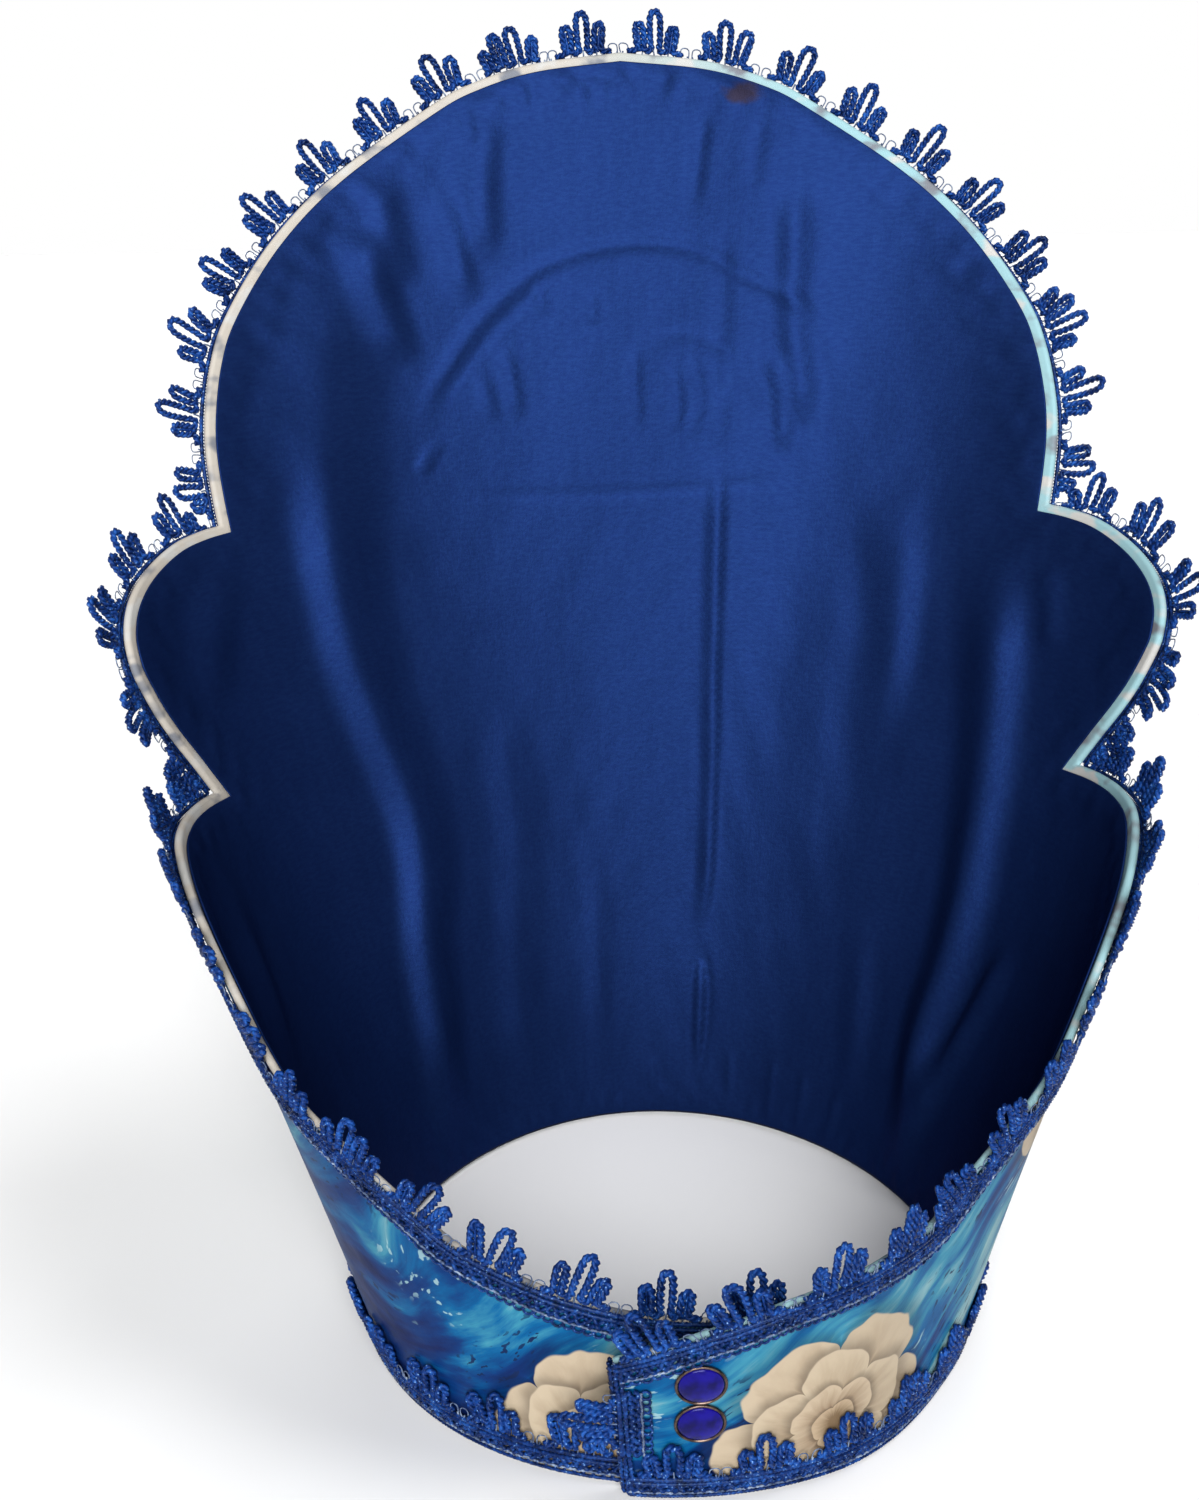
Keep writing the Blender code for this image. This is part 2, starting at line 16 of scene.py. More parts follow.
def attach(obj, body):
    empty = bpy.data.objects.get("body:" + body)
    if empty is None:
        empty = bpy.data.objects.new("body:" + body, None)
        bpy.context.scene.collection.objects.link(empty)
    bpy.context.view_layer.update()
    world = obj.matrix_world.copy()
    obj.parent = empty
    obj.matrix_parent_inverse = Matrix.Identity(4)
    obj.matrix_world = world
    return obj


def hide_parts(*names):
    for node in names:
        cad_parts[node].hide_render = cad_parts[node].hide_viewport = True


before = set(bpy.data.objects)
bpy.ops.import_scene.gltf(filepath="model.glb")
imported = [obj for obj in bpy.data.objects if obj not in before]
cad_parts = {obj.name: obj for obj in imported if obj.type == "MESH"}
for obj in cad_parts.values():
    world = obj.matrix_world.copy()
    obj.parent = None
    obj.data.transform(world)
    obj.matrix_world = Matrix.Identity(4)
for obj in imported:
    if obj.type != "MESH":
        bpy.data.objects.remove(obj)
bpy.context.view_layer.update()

MM = 0.001
rng = np.random.default_rng(20)

# Sizes of the part
CROWN_SHIFT = np.array([0.0, 13.8 * MM, 0.0])
BASE_WIDTH = 171 * MM
BASE_DEPTH = 194.4 * MM
FRONT_NARROWING = 0.068
FRONT_SLOPE = math.tan(math.radians(7.4))
SIDE_SLOPE = math.tan(math.radians(18.9))
BACK_SLOPE = math.tan(math.radians(-1.0))
FLAP_SLOPE = math.tan(math.radians(13.0))
CROWN_HEIGHT = 347 * MM
UPPER_NOTCH_HEIGHT = 211.5 * MM
LOWER_NOTCH_HEIGHT = 141.5 * MM
BACK_HEIGHT = 47.5 * MM
UPPER_NOTCH_TURN = 60
LOBE_TURN = 81.4
LOWER_NOTCH_TURN = 75.7
BACK_TURN = 180
WALL = 2.4 * MM
LINING_INSET = 2.8 * MM
LINING_DEPTH = 2.9 * MM
FLAP_STANDOFF = 4.7 * MM
FLAP_FOOT_TURN = 190.5
TAB_FOOT_TURN = 197
STANDOFF_STARTS_TURN = 128
STANDOFF_ENDS_TURN = 160
LEAN_STARTS_TURN = 138
LEAN_ENDS_TURN = 176
FAN_PITCH = 22.7 * MM
FAN_HEIGHT = 14.5 * MM
HEADER = 8 * MM
LOW_FAN_HEIGHT = 12 * MM
LOW_HEADER = 6.8 * MM
LOW_BRAID_RISE = 0.8 * MM
SNAP_TURN = 180
SNAP_HEIGHTS = {"lower": 26.0 * MM, "upper": 38.7 * MM}
SNAP_RADIUS = 5.5 * MM
SNAP_LIFT = 0.3 * MM
SNAP_SKIRT = 0.6 * MM
SNAP_CROWN = 1.1 * MM
DOME_STEPS = 14
RING_GAP = 0.1 * MM
RING_HALF_WIDTH = 0.4 * MM
RING_HALF_RISE = 0.45 * MM

# turn: share of UPPER_NOTCH_TURN, rise: share from the upper notch to the crown's height
DOME_RIM = (
    (0.000, 1.000), (0.200, 0.979), (0.333, 0.940), (0.433, 0.885), (0.617, 0.745), (0.750, 0.607),
    (0.867, 0.444), (0.917, 0.348), (0.958, 0.236), (0.980, 0.150), (0.993, 0.064), (1.000, 0.000),
)
# turn: share from UPPER_NOTCH_TURN to LOBE_TURN, rise: share from the lower to the upper notch
LOBE_RIM = (
    (0.000, 1.000), (0.121, 0.993), (0.290, 0.973), (0.467, 0.930), (0.654, 0.869), (0.818, 0.793),
    (0.935, 0.703), (0.991, 0.607), (1.000, 0.535), (0.963, 0.386), (0.902, 0.264), (0.818, 0.136),
    (None, 0.000),
)
# turn: share from LOWER_NOTCH_TURN to BACK_TURN, rise: share from BACK_HEIGHT to the notch
SWEEP_RIM = (
    (0.000, 1.000), (0.044, 1.007), (0.094, 1.006), (0.147, 0.987), (0.195, 0.926), (0.243, 0.835),
    (0.281, 0.707), (0.310, 0.574), (0.338, 0.490), (0.377, 0.425), (0.425, 0.383), (0.482, 0.335),
    (0.569, 0.238), (0.636, 0.155),
)
TAB_RIM = ((0.703, 0.108), (0.808, 0.047), (0.914, 0.007), (1.000, -0.010), (1.158, -0.020))
FLAP_RIM = (
    (0.753, 0.151), (0.829, 0.148), (0.892, 0.138), (0.932, 0.116), (0.967, 0.091), (1.003, 0.064),
    (1.069, 0.008), (1.110, -0.021),
)


# Surface of the cover

def columns(*parts):
    return np.stack(parts, axis=-1)


def unit(vectors):
    return vectors / np.maximum(np.linalg.norm(vectors, axis=-1, keepdims=True), 1e-12)


def smooth(value, start, end):
    """Smooth step from 0 at start to 1 at end."""
    share = np.clip((value - start) / (end - start), 0.0, 1.0)
    return share * share * (3.0 - 2.0 * share)


def wall_point(turn, height):
    """Point of the cover's outer face; turn in degrees."""
    angle = np.radians(turn)
    ends = FRONT_SLOPE - BACK_SLOPE
    mean = (FRONT_SLOPE + BACK_SLOPE + 2.0 * SIDE_SLOPE) / 4.0
    quarter = (FRONT_SLOPE + BACK_SLOPE - 2.0 * SIDE_SLOPE) / 4.0
    slope = mean + ends / 2.0 * np.cos(angle) + quarter * np.cos(2.0 * angle)
    standoff = FLAP_STANDOFF * smooth(turn, STANDOFF_STARTS_TURN, STANDOFF_ENDS_TURN)
    standoff = standoff + FLAP_SLOPE * height * smooth(turn, LEAN_STARTS_TURN, LEAN_ENDS_TURN)
    half_width = BASE_WIDTH / 2.0 * (1.0 - FRONT_NARROWING * np.cos(angle))
    reach = height * slope + standoff
    x = -(half_width + reach) * np.sin(angle)
    y = -(BASE_DEPTH / 2.0 + reach) * np.cos(angle)
    return columns(x, y, height + 0.0 * angle) + CROWN_SHIFT


def frame_at(turn, height):
    """Surface steps per degree and per metre of height, and the outward normal."""
    small_turn = 0.05
    small_height = 0.1 * MM
    per_turn = wall_point(turn + small_turn, height) - wall_point(turn - small_turn, height)
    per_turn = per_turn / (2 * small_turn)
    per_height = wall_point(turn, height + small_height) - wall_point(turn, height - small_height)
    per_height = per_height / (2 * small_height)
    return per_turn, per_height, unit(np.cross(per_height, per_turn))


def lifted_point(turn, height, lift):
    normal = frame_at(turn, height)[2]
    return wall_point(turn, height) + normal * np.reshape(lift + 0.0 * turn, np.shape(turn) + (1,))


def spline(rows, steps=12):
    """Smooth curve through the rows."""
    rows = np.array(rows, float)
    padded = np.vstack([2 * rows[0] - rows[1], rows, 2 * rows[-1] - rows[-2]])
    t = (np.arange(steps) / steps)[:, None]
    points = []
    for before, start, end, after in zip(padded, padded[1:], padded[2:], padded[3:]):
        square = 2 * before - 5 * start + 4 * end - after
        cube = 3 * start - before - 3 * end + after
        points.append(0.5 * (2 * start + (end - before) * t + square * t**2 + cube * t**3))
    return np.vstack([*points, rows[-1:]])


def stretch(rows, turn_from, turn_to, height_from, height_to, last_turn=None):
    """Curve through rows of shares; last_turn stands where a row gives no turn."""
    placed = []
    for turn_share, rise_share in rows:
        turn = last_turn if turn_share is None else turn_from + (turn_to - turn_from) * turn_share
        placed.append((turn, height_from + (height_to - height_from) * rise_share))
    return spline(placed)


def half_rim(end_rows):
    """The rim's three stretches on one side, from the middle of the front to the back."""
    dome = stretch(DOME_RIM, 0.0, UPPER_NOTCH_TURN, UPPER_NOTCH_HEIGHT, CROWN_HEIGHT)
    lobe = stretch(
        LOBE_RIM, UPPER_NOTCH_TURN, LOBE_TURN, LOWER_NOTCH_HEIGHT, UPPER_NOTCH_HEIGHT, LOWER_NOTCH_TURN
    )
    band = stretch(SWEEP_RIM + end_rows, LOWER_NOTCH_TURN, BACK_TURN, BACK_HEIGHT, LOWER_NOTCH_HEIGHT)
    return [dome, lobe, band]


def surface_shares(step, per_turn, per_height):
    """The turn and height that make up a step lying in the surface."""
    a = (per_turn * per_turn).sum(-1)
    b = (per_turn * per_height).sum(-1)
    c = (per_height * per_height).sum(-1)
    p = (step * per_turn).sum(-1)
    q = (step * per_height).sum(-1)
    room = a * c - b * b
    return columns((c * p - b * q) / room, (a * q - b * p) / room)


def distances(points):
    """Distance along the line at each of its points."""
    return np.concatenate([[0.0], np.cumsum(np.linalg.norm(np.diff(points, axis=0), axis=1))])


def at_even_steps(points, marks, step, least):
    at = np.linspace(0.0, marks[-1], max(least, round(marks[-1] / step) + 1))
    return columns(*(np.interp(at, marks, column) for column in points.T))


class Route:
    """One smooth line on the cover, with the direction away from the cloth along it."""

    def __init__(self, points, notch_before=False, notch_after=False):
        self.points = np.array(points, float)
        placed = wall_point(*self.points.T)
        self.marks = distances(placed)
        self.length = self.marks[-1]
        self.notch_before = notch_before
        self.notch_after = notch_after
        per_turn, per_height, normal = frame_at(*self.points.T)
        outward = unit(np.cross(np.gradient(placed, axis=0), normal))
        self.shares = surface_shares(outward, per_turn, per_height)

    def room(self, along, height):
        """How much of its height a fan keeps beside a notch."""
        distance = np.full(np.shape(along), 1.0)
        if self.notch_before:
            distance = np.minimum(distance, along)
        if self.notch_after:
            distance = np.minimum(distance, self.length - along)
        return np.clip(0.25 + 0.75 * distance / height, 0.0, 1.0)

    def plan(self, along, away):
        """Turn and height at a distance along the line and away from it."""
        rows = (*self.points.T, *self.shares.T)
        turn, height, turn_share, height_share = (np.interp(along, self.marks, row) for row in rows)
        return turn + turn_share * away, height + height_share * away


def offset_loop(loop, away):
    """A closed line on the cover, moved away from the cloth that it encloses."""
    placed = wall_point(*loop.T)
    ahead = unit(np.roll(placed, -1, axis=0) - placed)
    behind = np.roll(ahead, 1, axis=0)
    per_turn, per_height, normal = frame_at(*loop.T)
    first = unit(np.cross(ahead, normal))
    second = unit(np.cross(behind, normal))
    mitre = (first + second) / np.maximum(1.0 + (first * second).sum(-1, keepdims=True), 0.4)
    return loop + surface_shares(mitre * away, per_turn, per_height)


def uncrossed(moved, loop, away):
    """The moved line without the points that came too near the first line, as at its corners."""
    first = wall_point(*loop.T)
    placed = wall_point(*moved.T)
    kept = []
    for index, point in enumerate(placed):
        if np.linalg.norm(first - point, axis=-1).min() < 0.93 * abs(away):
            continue
        if kept and np.linalg.norm(point - placed[kept[-1]]) < 0.9 * MM:
            continue
        kept.append(index)
    return moved[kept]


def resample(points, step):
    """Points at even distances on a line on the cover."""
    return at_even_steps(points, distances(wall_point(*points.T)), step, 2)


left_half = [points[::-1] * np.array([-1.0, 1.0]) for points in half_rim(TAB_RIM)[::-1]]
right_half = half_rim(FLAP_RIM)
rim_stretches = left_half[:-1] + [np.vstack([left_half[-1], right_half[0][1:]])] + right_half[1:]
flap_top = right_half[-1][-1]


def closed_outline(step):
    """The whole edge of the wall: the rim, the flap's end, the foot and the tab's end."""
    foot = np.linspace(FLAP_FOOT_TURN, -TAB_FOOT_TURN, 400)
    flap_end = np.array([flap_top, (FLAP_FOOT_TURN, 0.0)])
    tab_end = np.array([(-TAB_FOOT_TURN, 0.0), rim_stretches[0][0]])
    runs = [*rim_stretches, flap_end, columns(foot, 0.0 * foot), tab_end]
    return np.vstack([resample(run, step)[:-1] for run in runs])


def flat_plan(points):
    """Turn and height as two lengths in metres."""
    return columns(np.radians(points[:, 0]) * BASE_DEPTH / 2.0, points[:, 1])


def to_segment(points, start, run):
    """How far points are from a straight run, the share along it, and the steps from its start."""
    apart = points - start
    share = np.clip((apart * run).sum(-1) / max((run * run).sum(), 1e-12), 0.0, 1.0)
    return np.linalg.norm(apart - share[:, None] * run, axis=-1), share, apart


def inside(points, outline):
    """Which points lie inside a closed outline, and how far from its edge they are."""
    end = np.roll(outline, -1, axis=0)
    crossing = np.zeros(len(points), bool)
    nearest = np.full(len(points), 1.0)
    for a, b, run in zip(outline, end, end - outline):
        spans = (a[1] > points[:, 1]) != (b[1] > points[:, 1])
        rise = b[1] - a[1]
        at = a[0] + (points[:, 1] - a[1]) * (b[0] - a[0]) / (rise if rise else 1.0)
        crossing ^= spans & (points[:, 0] < at)
        nearest = np.minimum(nearest, to_segment(points, a, run)[0])
    return crossing, nearest


def sheet_mesh(loop, step):
    """Points (turn, height) and triangles inside a closed line on the cover; the line comes first."""
    plan = flat_plan(loop)
    low = plan.min(axis=0)
    high = plan.max(axis=0)
    rows = np.arange(low[1] + step / 2.0, high[1], step * 0.87)
    grid = []
    for index, height in enumerate(rows):
        row = np.arange(low[0] + (index % 2) * step / 2.0, high[0], step)
        grid.append(columns(row, np.full(len(row), height)))
    grid = np.vstack(grid)
    kept, distance = inside(grid, plan)
    everything = np.vstack([plan, grid[kept & (distance > step * 0.55)]])
    vertices = [Vector(point) for point in everything]
    edges = [(i, (i + 1) % len(plan)) for i in range(len(plan))]
    placed, _, faces, origins, _, _ = delaunay_2d_cdt(vertices, edges, [], 1, 1e-7)
    crossed = [tuple(point) for point, origin in zip(placed, origins) if not origin]
    if crossed:
        raise ValueError(f"the outline crosses itself at {crossed[:4]}")
    order = np.array([origin[0] for origin in origins])
    faces = order[np.array(faces)]
    degrees = np.degrees(everything[:, 0] / (BASE_DEPTH / 2.0))
    return columns(degrees, everything[:, 1]), faces


def add_object(name, data):
    item = bpy.data.objects.new(name, data)
    bpy.context.scene.collection.objects.link(item)
    return item


def new_object(name, vertices, faces, finish):
    mesh = bpy.data.meshes.new(name)
    mesh.from_pydata(np.asarray(vertices).tolist(), [], [list(map(int, face)) for face in faces])
    mesh.update()
    mesh.shade_smooth()
    mesh.materials.append(finish)
    return add_object(name, mesh)


def mend(item, join_distance=0.0):
    """Join points that lie together, and turn the faces outward."""
    work = bmesh.new()
    work.from_mesh(item.data)
    if join_distance:
        bmesh.ops.remove_doubles(work, verts=work.verts, dist=join_distance)
    bmesh.ops.recalc_face_normals(work, faces=work.faces)
    work.to_mesh(item.data)
    work.free()


def carry(piece, node):
    """The piece rides on the body and stands for the node, which it hides."""
    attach(piece, "root")
    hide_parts(node)


def strip(first, second, count):
    """Quads between two closed rings of as many vertices."""
    i = np.arange(count)
    j = (i + 1) % count
    return columns(first + i, first + j, second + j, second + i).tolist()


# Rings round a shell's rounded edge, in quarter turns from its outer face
EDGE_ANGLES = (0.32, 0.66, 1.0, 1.34, 1.68)


def shell(name, outline, step, outer_lift, thickness, finish):
    """Closed shell with rounded edges, whose outer face lies at outer_lift(sheet) from the cover.

    Its attribute "plan" tells the material the two plan lengths and the distance from the edge,
    which is negative on the inner face.
    """
    radius = thickness / 2.0
    inset = offset_loop(outline, -radius)
    sheet, faces = sheet_mesh(inset, step)
    count = len(outline)
    outer = outer_lift(sheet)
    inner = outer - thickness
    edge = np.minimum(inside(flat_plan(sheet), flat_plan(outline))[1], 0.2)
    vertices = [lifted_point(*sheet.T, outer), lifted_point(*sheet.T, inner)]
    notes = [columns(*flat_plan(sheet).T, edge), columns(*flat_plan(sheet).T, -edge)]
    total = len(sheet)
    all_faces = [tuple(face) for face in faces]
    all_faces += [tuple(face[::-1] + total) for face in faces]
    rings = [0]
    middle = (outer[:count] + inner[:count]) / 2.0
    half = (outer[:count] - inner[:count]) / 2.0
    base = 2 * total
    for angle in EDGE_ANGLES:
        out = math.sin(angle * math.pi / 2.0)
        loop = offset_loop(outline, -radius + radius * out)
        lift = middle + half * math.cos(angle * math.pi / 2.0)
        vertices.append(lifted_point(*loop.T, lift))
        signed = 0.0 if angle <= 1.0 else -0.0001
        notes.append(columns(*flat_plan(loop).T, np.full(count, signed)))
        rings.append(base)
        base += count
    rings.append(total)
    for first, second in zip(rings, rings[1:]):
        all_faces += [tuple(face) for face in strip(second, first, count)]
    item = new_object(name, np.vstack(vertices), all_faces, finish)
    plan = item.data.attributes.new("plan", "FLOAT_VECTOR", "POINT")
    plan.data.foreach_set("vector", np.vstack(notes).astype(np.float32).ravel())
    mend(item)
    return item


# Node materials

def new_material(name):
    finish = bpy.data.materials.new(name)
    finish.use_nodes = True
    tree = finish.node_tree
    return finish, Nodes(tree), tree.nodes["Principled BSDF"]


class Nodes:
    """Short calls for the nodes of one material."""

    def __init__(self, tree):
        self.tree = tree

    def add(self, kind, values=(), **settings):
        node = self.tree.nodes.new("ShaderNode" + kind)
        for key, value in settings.items():
            setattr(node, key, value)
        self.fill(node, values)
        return node

    def fill(self, node, values):
        """Link an output to each socket, or set a number or colour on it."""
        for socket, value in dict(values).items():
            if isinstance(value, bpy.types.NodeSocket):
                self.tree.links.new(value, node.inputs[socket])
            elif value is not None:
                node.inputs[socket].default_value = value

    def math(self, operation, a, b=0.0):
        return self.add("Math", {0: a, 1: b}, operation=operation).outputs[0]

    def plus(self, a, b):
        return self.math("ADD", a, b)

    def times(self, a, b):
        return self.math("MULTIPLY", a, b)

    def vector(self, operation, a, b=(0.0, 0.0, 0.0), output=0):
        return self.add("VectorMath", {0: a, 1: b}, operation=operation).outputs[output]

    def scaled(self, vector, x, y, z=1.0):
        return self.vector("MULTIPLY", vector, (x, y, z))

    def plan(self):
        return self.add("Attribute", attribute_name="plan").outputs["Vector"]

    def place(self):
        return self.add("TexCoord").outputs["Object"]

    def split(self, vector):
        return self.add("SeparateXYZ", {0: vector}).outputs

    def join(self, x, y, z=0.0):
        return self.add("CombineXYZ", {0: x, 1: y, 2: z}).outputs[0]

    def noise(self, vector, scale, detail=3.0, roughness=0.5, output="Fac"):
        values = {"Vector": vector, "Scale": scale, "Detail": detail, "Roughness": roughness}
        return self.add("TexNoise", values).outputs[output]

    def ramp(self, value, stops):
        made = self.add("ValToRGB", {0: value})
        band = made.color_ramp
        while len(band.elements) < len(stops):
            band.elements.new(0.5)
        for element, (at, color) in zip(band.elements, stops):
            element.position = at
            element.color = (*color, 1.0)
        return made.outputs["Color"]

    def step(self, value, low, high):
        """Smooth step from 0 at low to 1 at high."""
        values = {"Value": value, "From Min": low, "From Max": high}
        return self.add("MapRange", values, interpolation_type="SMOOTHSTEP").outputs[0]

    def mix(self, share, a, b, blend="MIX"):
        made = self.add("Mix", data_type="RGBA", blend_type=blend, clamp_factor=True)
        a, b = ((*value, 1.0) if isinstance(value, tuple) else value for value in (a, b))
        self.fill(made, {0: share, 6: a, 7: b})
        return made.outputs[2]

    def bump(self, height, strength, distance, normal=None):
        values = {"Height": height, "Strength": strength, "Distance": distance, "Normal": normal}
        return self.add("Bump", values).outputs[0]


BLOSSOM_PITCH = 94 * MM
BARE_CELLS = 0.425
# petals, reach as a share of the pitch, turn in radians, colours at the petals' roots and tips
PETAL_ROWS = (
    (5.0, 0.345, 0.0, (0.155, 0.110, 0.070), (0.300, 0.245, 0.175)),
    (5.0, 0.250, 0.63, (0.150, 0.105, 0.065), (0.310, 0.255, 0.182)),
    (4.0, 0.155, 0.20, (0.135, 0.090, 0.055), (0.300, 0.240, 0.168)),
    (3.0, 0.075, 0.90, (0.120, 0.080, 0.045), (0.270, 0.205, 0.135)),
)


def print_material():
    """Painted print: flowing blue strokes, pale foam strokes and open cream blossoms."""
    finish, n, shader = new_material("printed_cover")
    plan = n.plan()
    u, v, edge = n.split(plan)
    flat = n.join(u, v)
    swirl = n.noise(flat, 11.0, 2.0, output="Color")
    swirl = n.vector("SUBTRACT", swirl, (0.5, 0.5, 0.5))
    bent = n.vector("ADD", flat, n.scaled(swirl, 0.075, 0.075, 0.0))
    turned = n.add("VectorRotate", {"Vector": bent, "Angle": math.radians(28.0)}).outputs[0]
    along = n.scaled(turned, 14.0, 120.0)
    strokes = n.noise(along, 1.0, 5.0, 0.62)
    broad = n.noise(n.scaled(turned, 9.0, 26.0), 1.0, 3.0, 0.55)
    tone = n.plus(n.times(broad, 0.68), n.times(strokes, 0.32))
    color = n.ramp(
        tone,
        [
            (0.35, (0.0015, 0.004, 0.020)),
            (0.43, (0.002, 0.008, 0.055)),
            (0.485, (0.001, 0.020, 0.095)),
            (0.53, (0.001, 0.062, 0.165)),
            (0.57, (0.025, 0.145, 0.215)),
            (0.62, (0.150, 0.260, 0.275)),
        ],
    )
    dashes = n.noise(n.scaled(turned, 170.0, 520.0), 1.0, 2.0)
    where = n.noise(flat, 24.0, 2.0)
    dab = n.times(n.step(dashes, 0.60, 0.64), n.step(where, 0.50, 0.58))
    color = n.mix(dab, color, (0.003, 0.010, 0.045))
    foam = n.times(n.step(dashes, 0.40, 0.35), n.step(where, 0.47, 0.40))
    color = n.mix(n.times(foam, 0.75), color, (0.200, 0.310, 0.330))

    # Blossoms: four rows of petals round the middles of uneven cells
    cells = 1.0 / BLOSSOM_PITCH
    wobble = n.noise(flat, 60.0, 2.0, output="Color")
    wobble = n.scaled(n.vector("SUBTRACT", wobble, (0.5, 0.5, 0.5)), 0.010, 0.010, 0.0)
    moved = n.vector("ADD", n.vector("ADD", flat, (0.037, 0.021, 0.0)), wobble)
    seat = n.scaled(moved, cells, cells, 0.0)
    voronoi = n.add("TexVoronoi", {"Vector": seat, "Scale": 1.0, "Randomness": 0.42}, voronoi_dimensions="2D")
    local = n.vector("SUBTRACT", seat, voronoi.outputs["Position"])
    x, y, _ = n.split(local)
    reach = n.vector("LENGTH", local, output="Value")
    chance, spin, _ = n.split(voronoi.outputs["Color"])
    angle = n.plus(n.math("ARCTAN2", y, x), n.times(spin, 6.2832))
    chosen = n.math("GREATER_THAN", chance, BARE_CELLS)
    for count, size, shift, dark, light in PETAL_ROWS:
        wave = n.math("SINE", n.times(n.plus(angle, shift), count / 2.0))
        wave = n.math("POWER", n.math("ABSOLUTE", wave), 0.45)
        limit = n.times(n.plus(n.times(wave, 0.30), 0.70), size)
        share = n.math("DIVIDE", reach, limit)
        petal = n.step(share, 1.0, 0.975)
        rays = n.noise(n.join(n.times(angle, 6.0), n.times(reach, 9.0)), 1.0)
        shade = n.plus(n.times(share, 0.85), n.times(n.math("SUBTRACT", rays, 0.5), 0.5))
        tip = tuple(0.86 * value for value in light)
        cream = n.ramp(shade, [(0.25, dark), (0.80, light), (0.93, light), (1.0, tip)])
        cast = n.times(n.step(share, 1.22, 0.98), n.times(chosen, 0.45))
        color = n.mix(cast, color, (0.10, 0.09, 0.10), "MULTIPLY")
        color = n.mix(n.times(petal, chosen), color, cream)

    # Turned edge, worn to grey and white, then the foot outside and inside
    edge_wear = n.noise(flat, 90.0)
    side = n.step(u, -0.02, 0.05)
    rim = n.mix(side, (0.310, 0.285, 0.250), (0.185, 0.310, 0.335))
    rim = n.mix(n.step(edge_wear, 0.53, 0.66), rim, (0.120, 0.125, 0.140))
    rim = n.mix(n.step(edge_wear, 0.46, 0.36), rim, (0.330, 0.325, 0.310))
    color = n.mix(n.step(edge, 0.0006, 0.0), color, rim)
    foot = n.times(n.step(v, 0.0016, 0.0008), n.step(edge, 0.0003, 0.0008))
    color = n.mix(foot, color, (0.40, 0.40, 0.38))
    inner_foot = n.times(n.step(v, 0.0050, 0.0040), n.step(edge, 0.0003, 0.0))
    color = n.mix(inner_foot, color, (0.004, 0.006, 0.020))
    weave = n.noise(flat, 1700.0, 2.0)
    relief = n.noise(plan, 130.0)
    normal = n.bump(relief, 0.25, 0.0006, n.bump(weave, 0.12, 0.0002))
    rough = n.plus(n.times(relief, 0.2), 0.38)
    n.fill(shader, {"Base Color": color, "Normal": normal, "Roughness": rough})
    n.fill(shader, {"Specular IOR Level": 0.10, "Specular Tint": (0.50, 0.70, 1.0, 1.0)})
    return finish


STAIN_TURN = 17
STAIN_HEIGHT = 334 * MM


def satin_material():
    """Royal satin: soft sheen, a fine grain whose paler flecks are a painted sheen, slight mottling, a band
    that darkens towards its glued edge and a small stain.
    """
    finish, n, shader = new_material("satin")
    plan = n.plan()
    u, v, edge = n.split(plan)
    flat = n.join(u, v)
    mottle = n.noise(flat, 42.0, 4.0, 0.6)
    streak = n.noise(n.scaled(flat, 420.0, 26.0), 1.0, 3.0, 0.6)
    tone = n.plus(n.times(mottle, 0.6), n.times(streak, 0.4))
    color = n.ramp(tone, [(0.34, (0.0058, 0.0355, 0.164)), (0.66, (0.0105, 0.0500, 0.221))])
    # Weave grain multiplied into the colour; its paler, whiter flecks are a painted sheen
    grain_and_sheen = n.noise(n.scaled(flat, 480.0, 1000.0), 1.0, 3.0, 0.7)
    grain_and_sheen = n.mix(n.step(grain_and_sheen, 0.36, 0.64), (0.66, 0.76, 0.86), (1.34, 1.24, 1.14))
    color = n.mix(1.0, color, grain_and_sheen, "MULTIPLY")
    uneven = n.times(n.math("SUBTRACT", mottle, 0.5), 0.002)
    # The colour darkens towards the satin's edge, in a band about 3 mm wide with an uneven inner line
    dark = n.step(n.plus(edge, uneven), 0.0030, 0.0012)
    color = n.mix(n.times(dark, 0.85), color, (0.004, 0.008, 0.035))
    stain_at = (math.radians(STAIN_TURN) * BASE_DEPTH / 2.0, STAIN_HEIGHT, 0.0)
    stain = n.scaled(n.vector("SUBTRACT", flat, stain_at), 1.0, 1.15)
    stain = n.vector("LENGTH", stain, output="Value")
    spread = n.plus(stain, n.times(n.noise(flat, 260.0), 0.006))
    color = n.mix(n.times(n.step(spread, 0.0085, 0.0045), 0.8), color, (0.014, 0.010, 0.012))
    rough = n.plus(n.times(mottle, 0.12), 0.41)
    weave = n.noise(n.scaled(flat, 1500.0, 700.0), 1.0, 2.0)
    normal = n.bump(weave, 0.22, 0.0002)
    slub = n.noise(n.scaled(flat, 330.0, 210.0), 1.0, 3.0, 0.6)
    normal = n.bump(slub, 0.22, 0.0004, normal)
    normal = n.bump(mottle, 0.2, 0.0012, normal)
    n.fill(shader, {"Base Color": color, "Normal": normal, "Roughness": rough, "Metallic": 0.5})
    n.fill(shader, {"Specular IOR Level": 0.02, "Specular Tint": (0.05, 0.15, 0.45, 1.0)})
    return finish


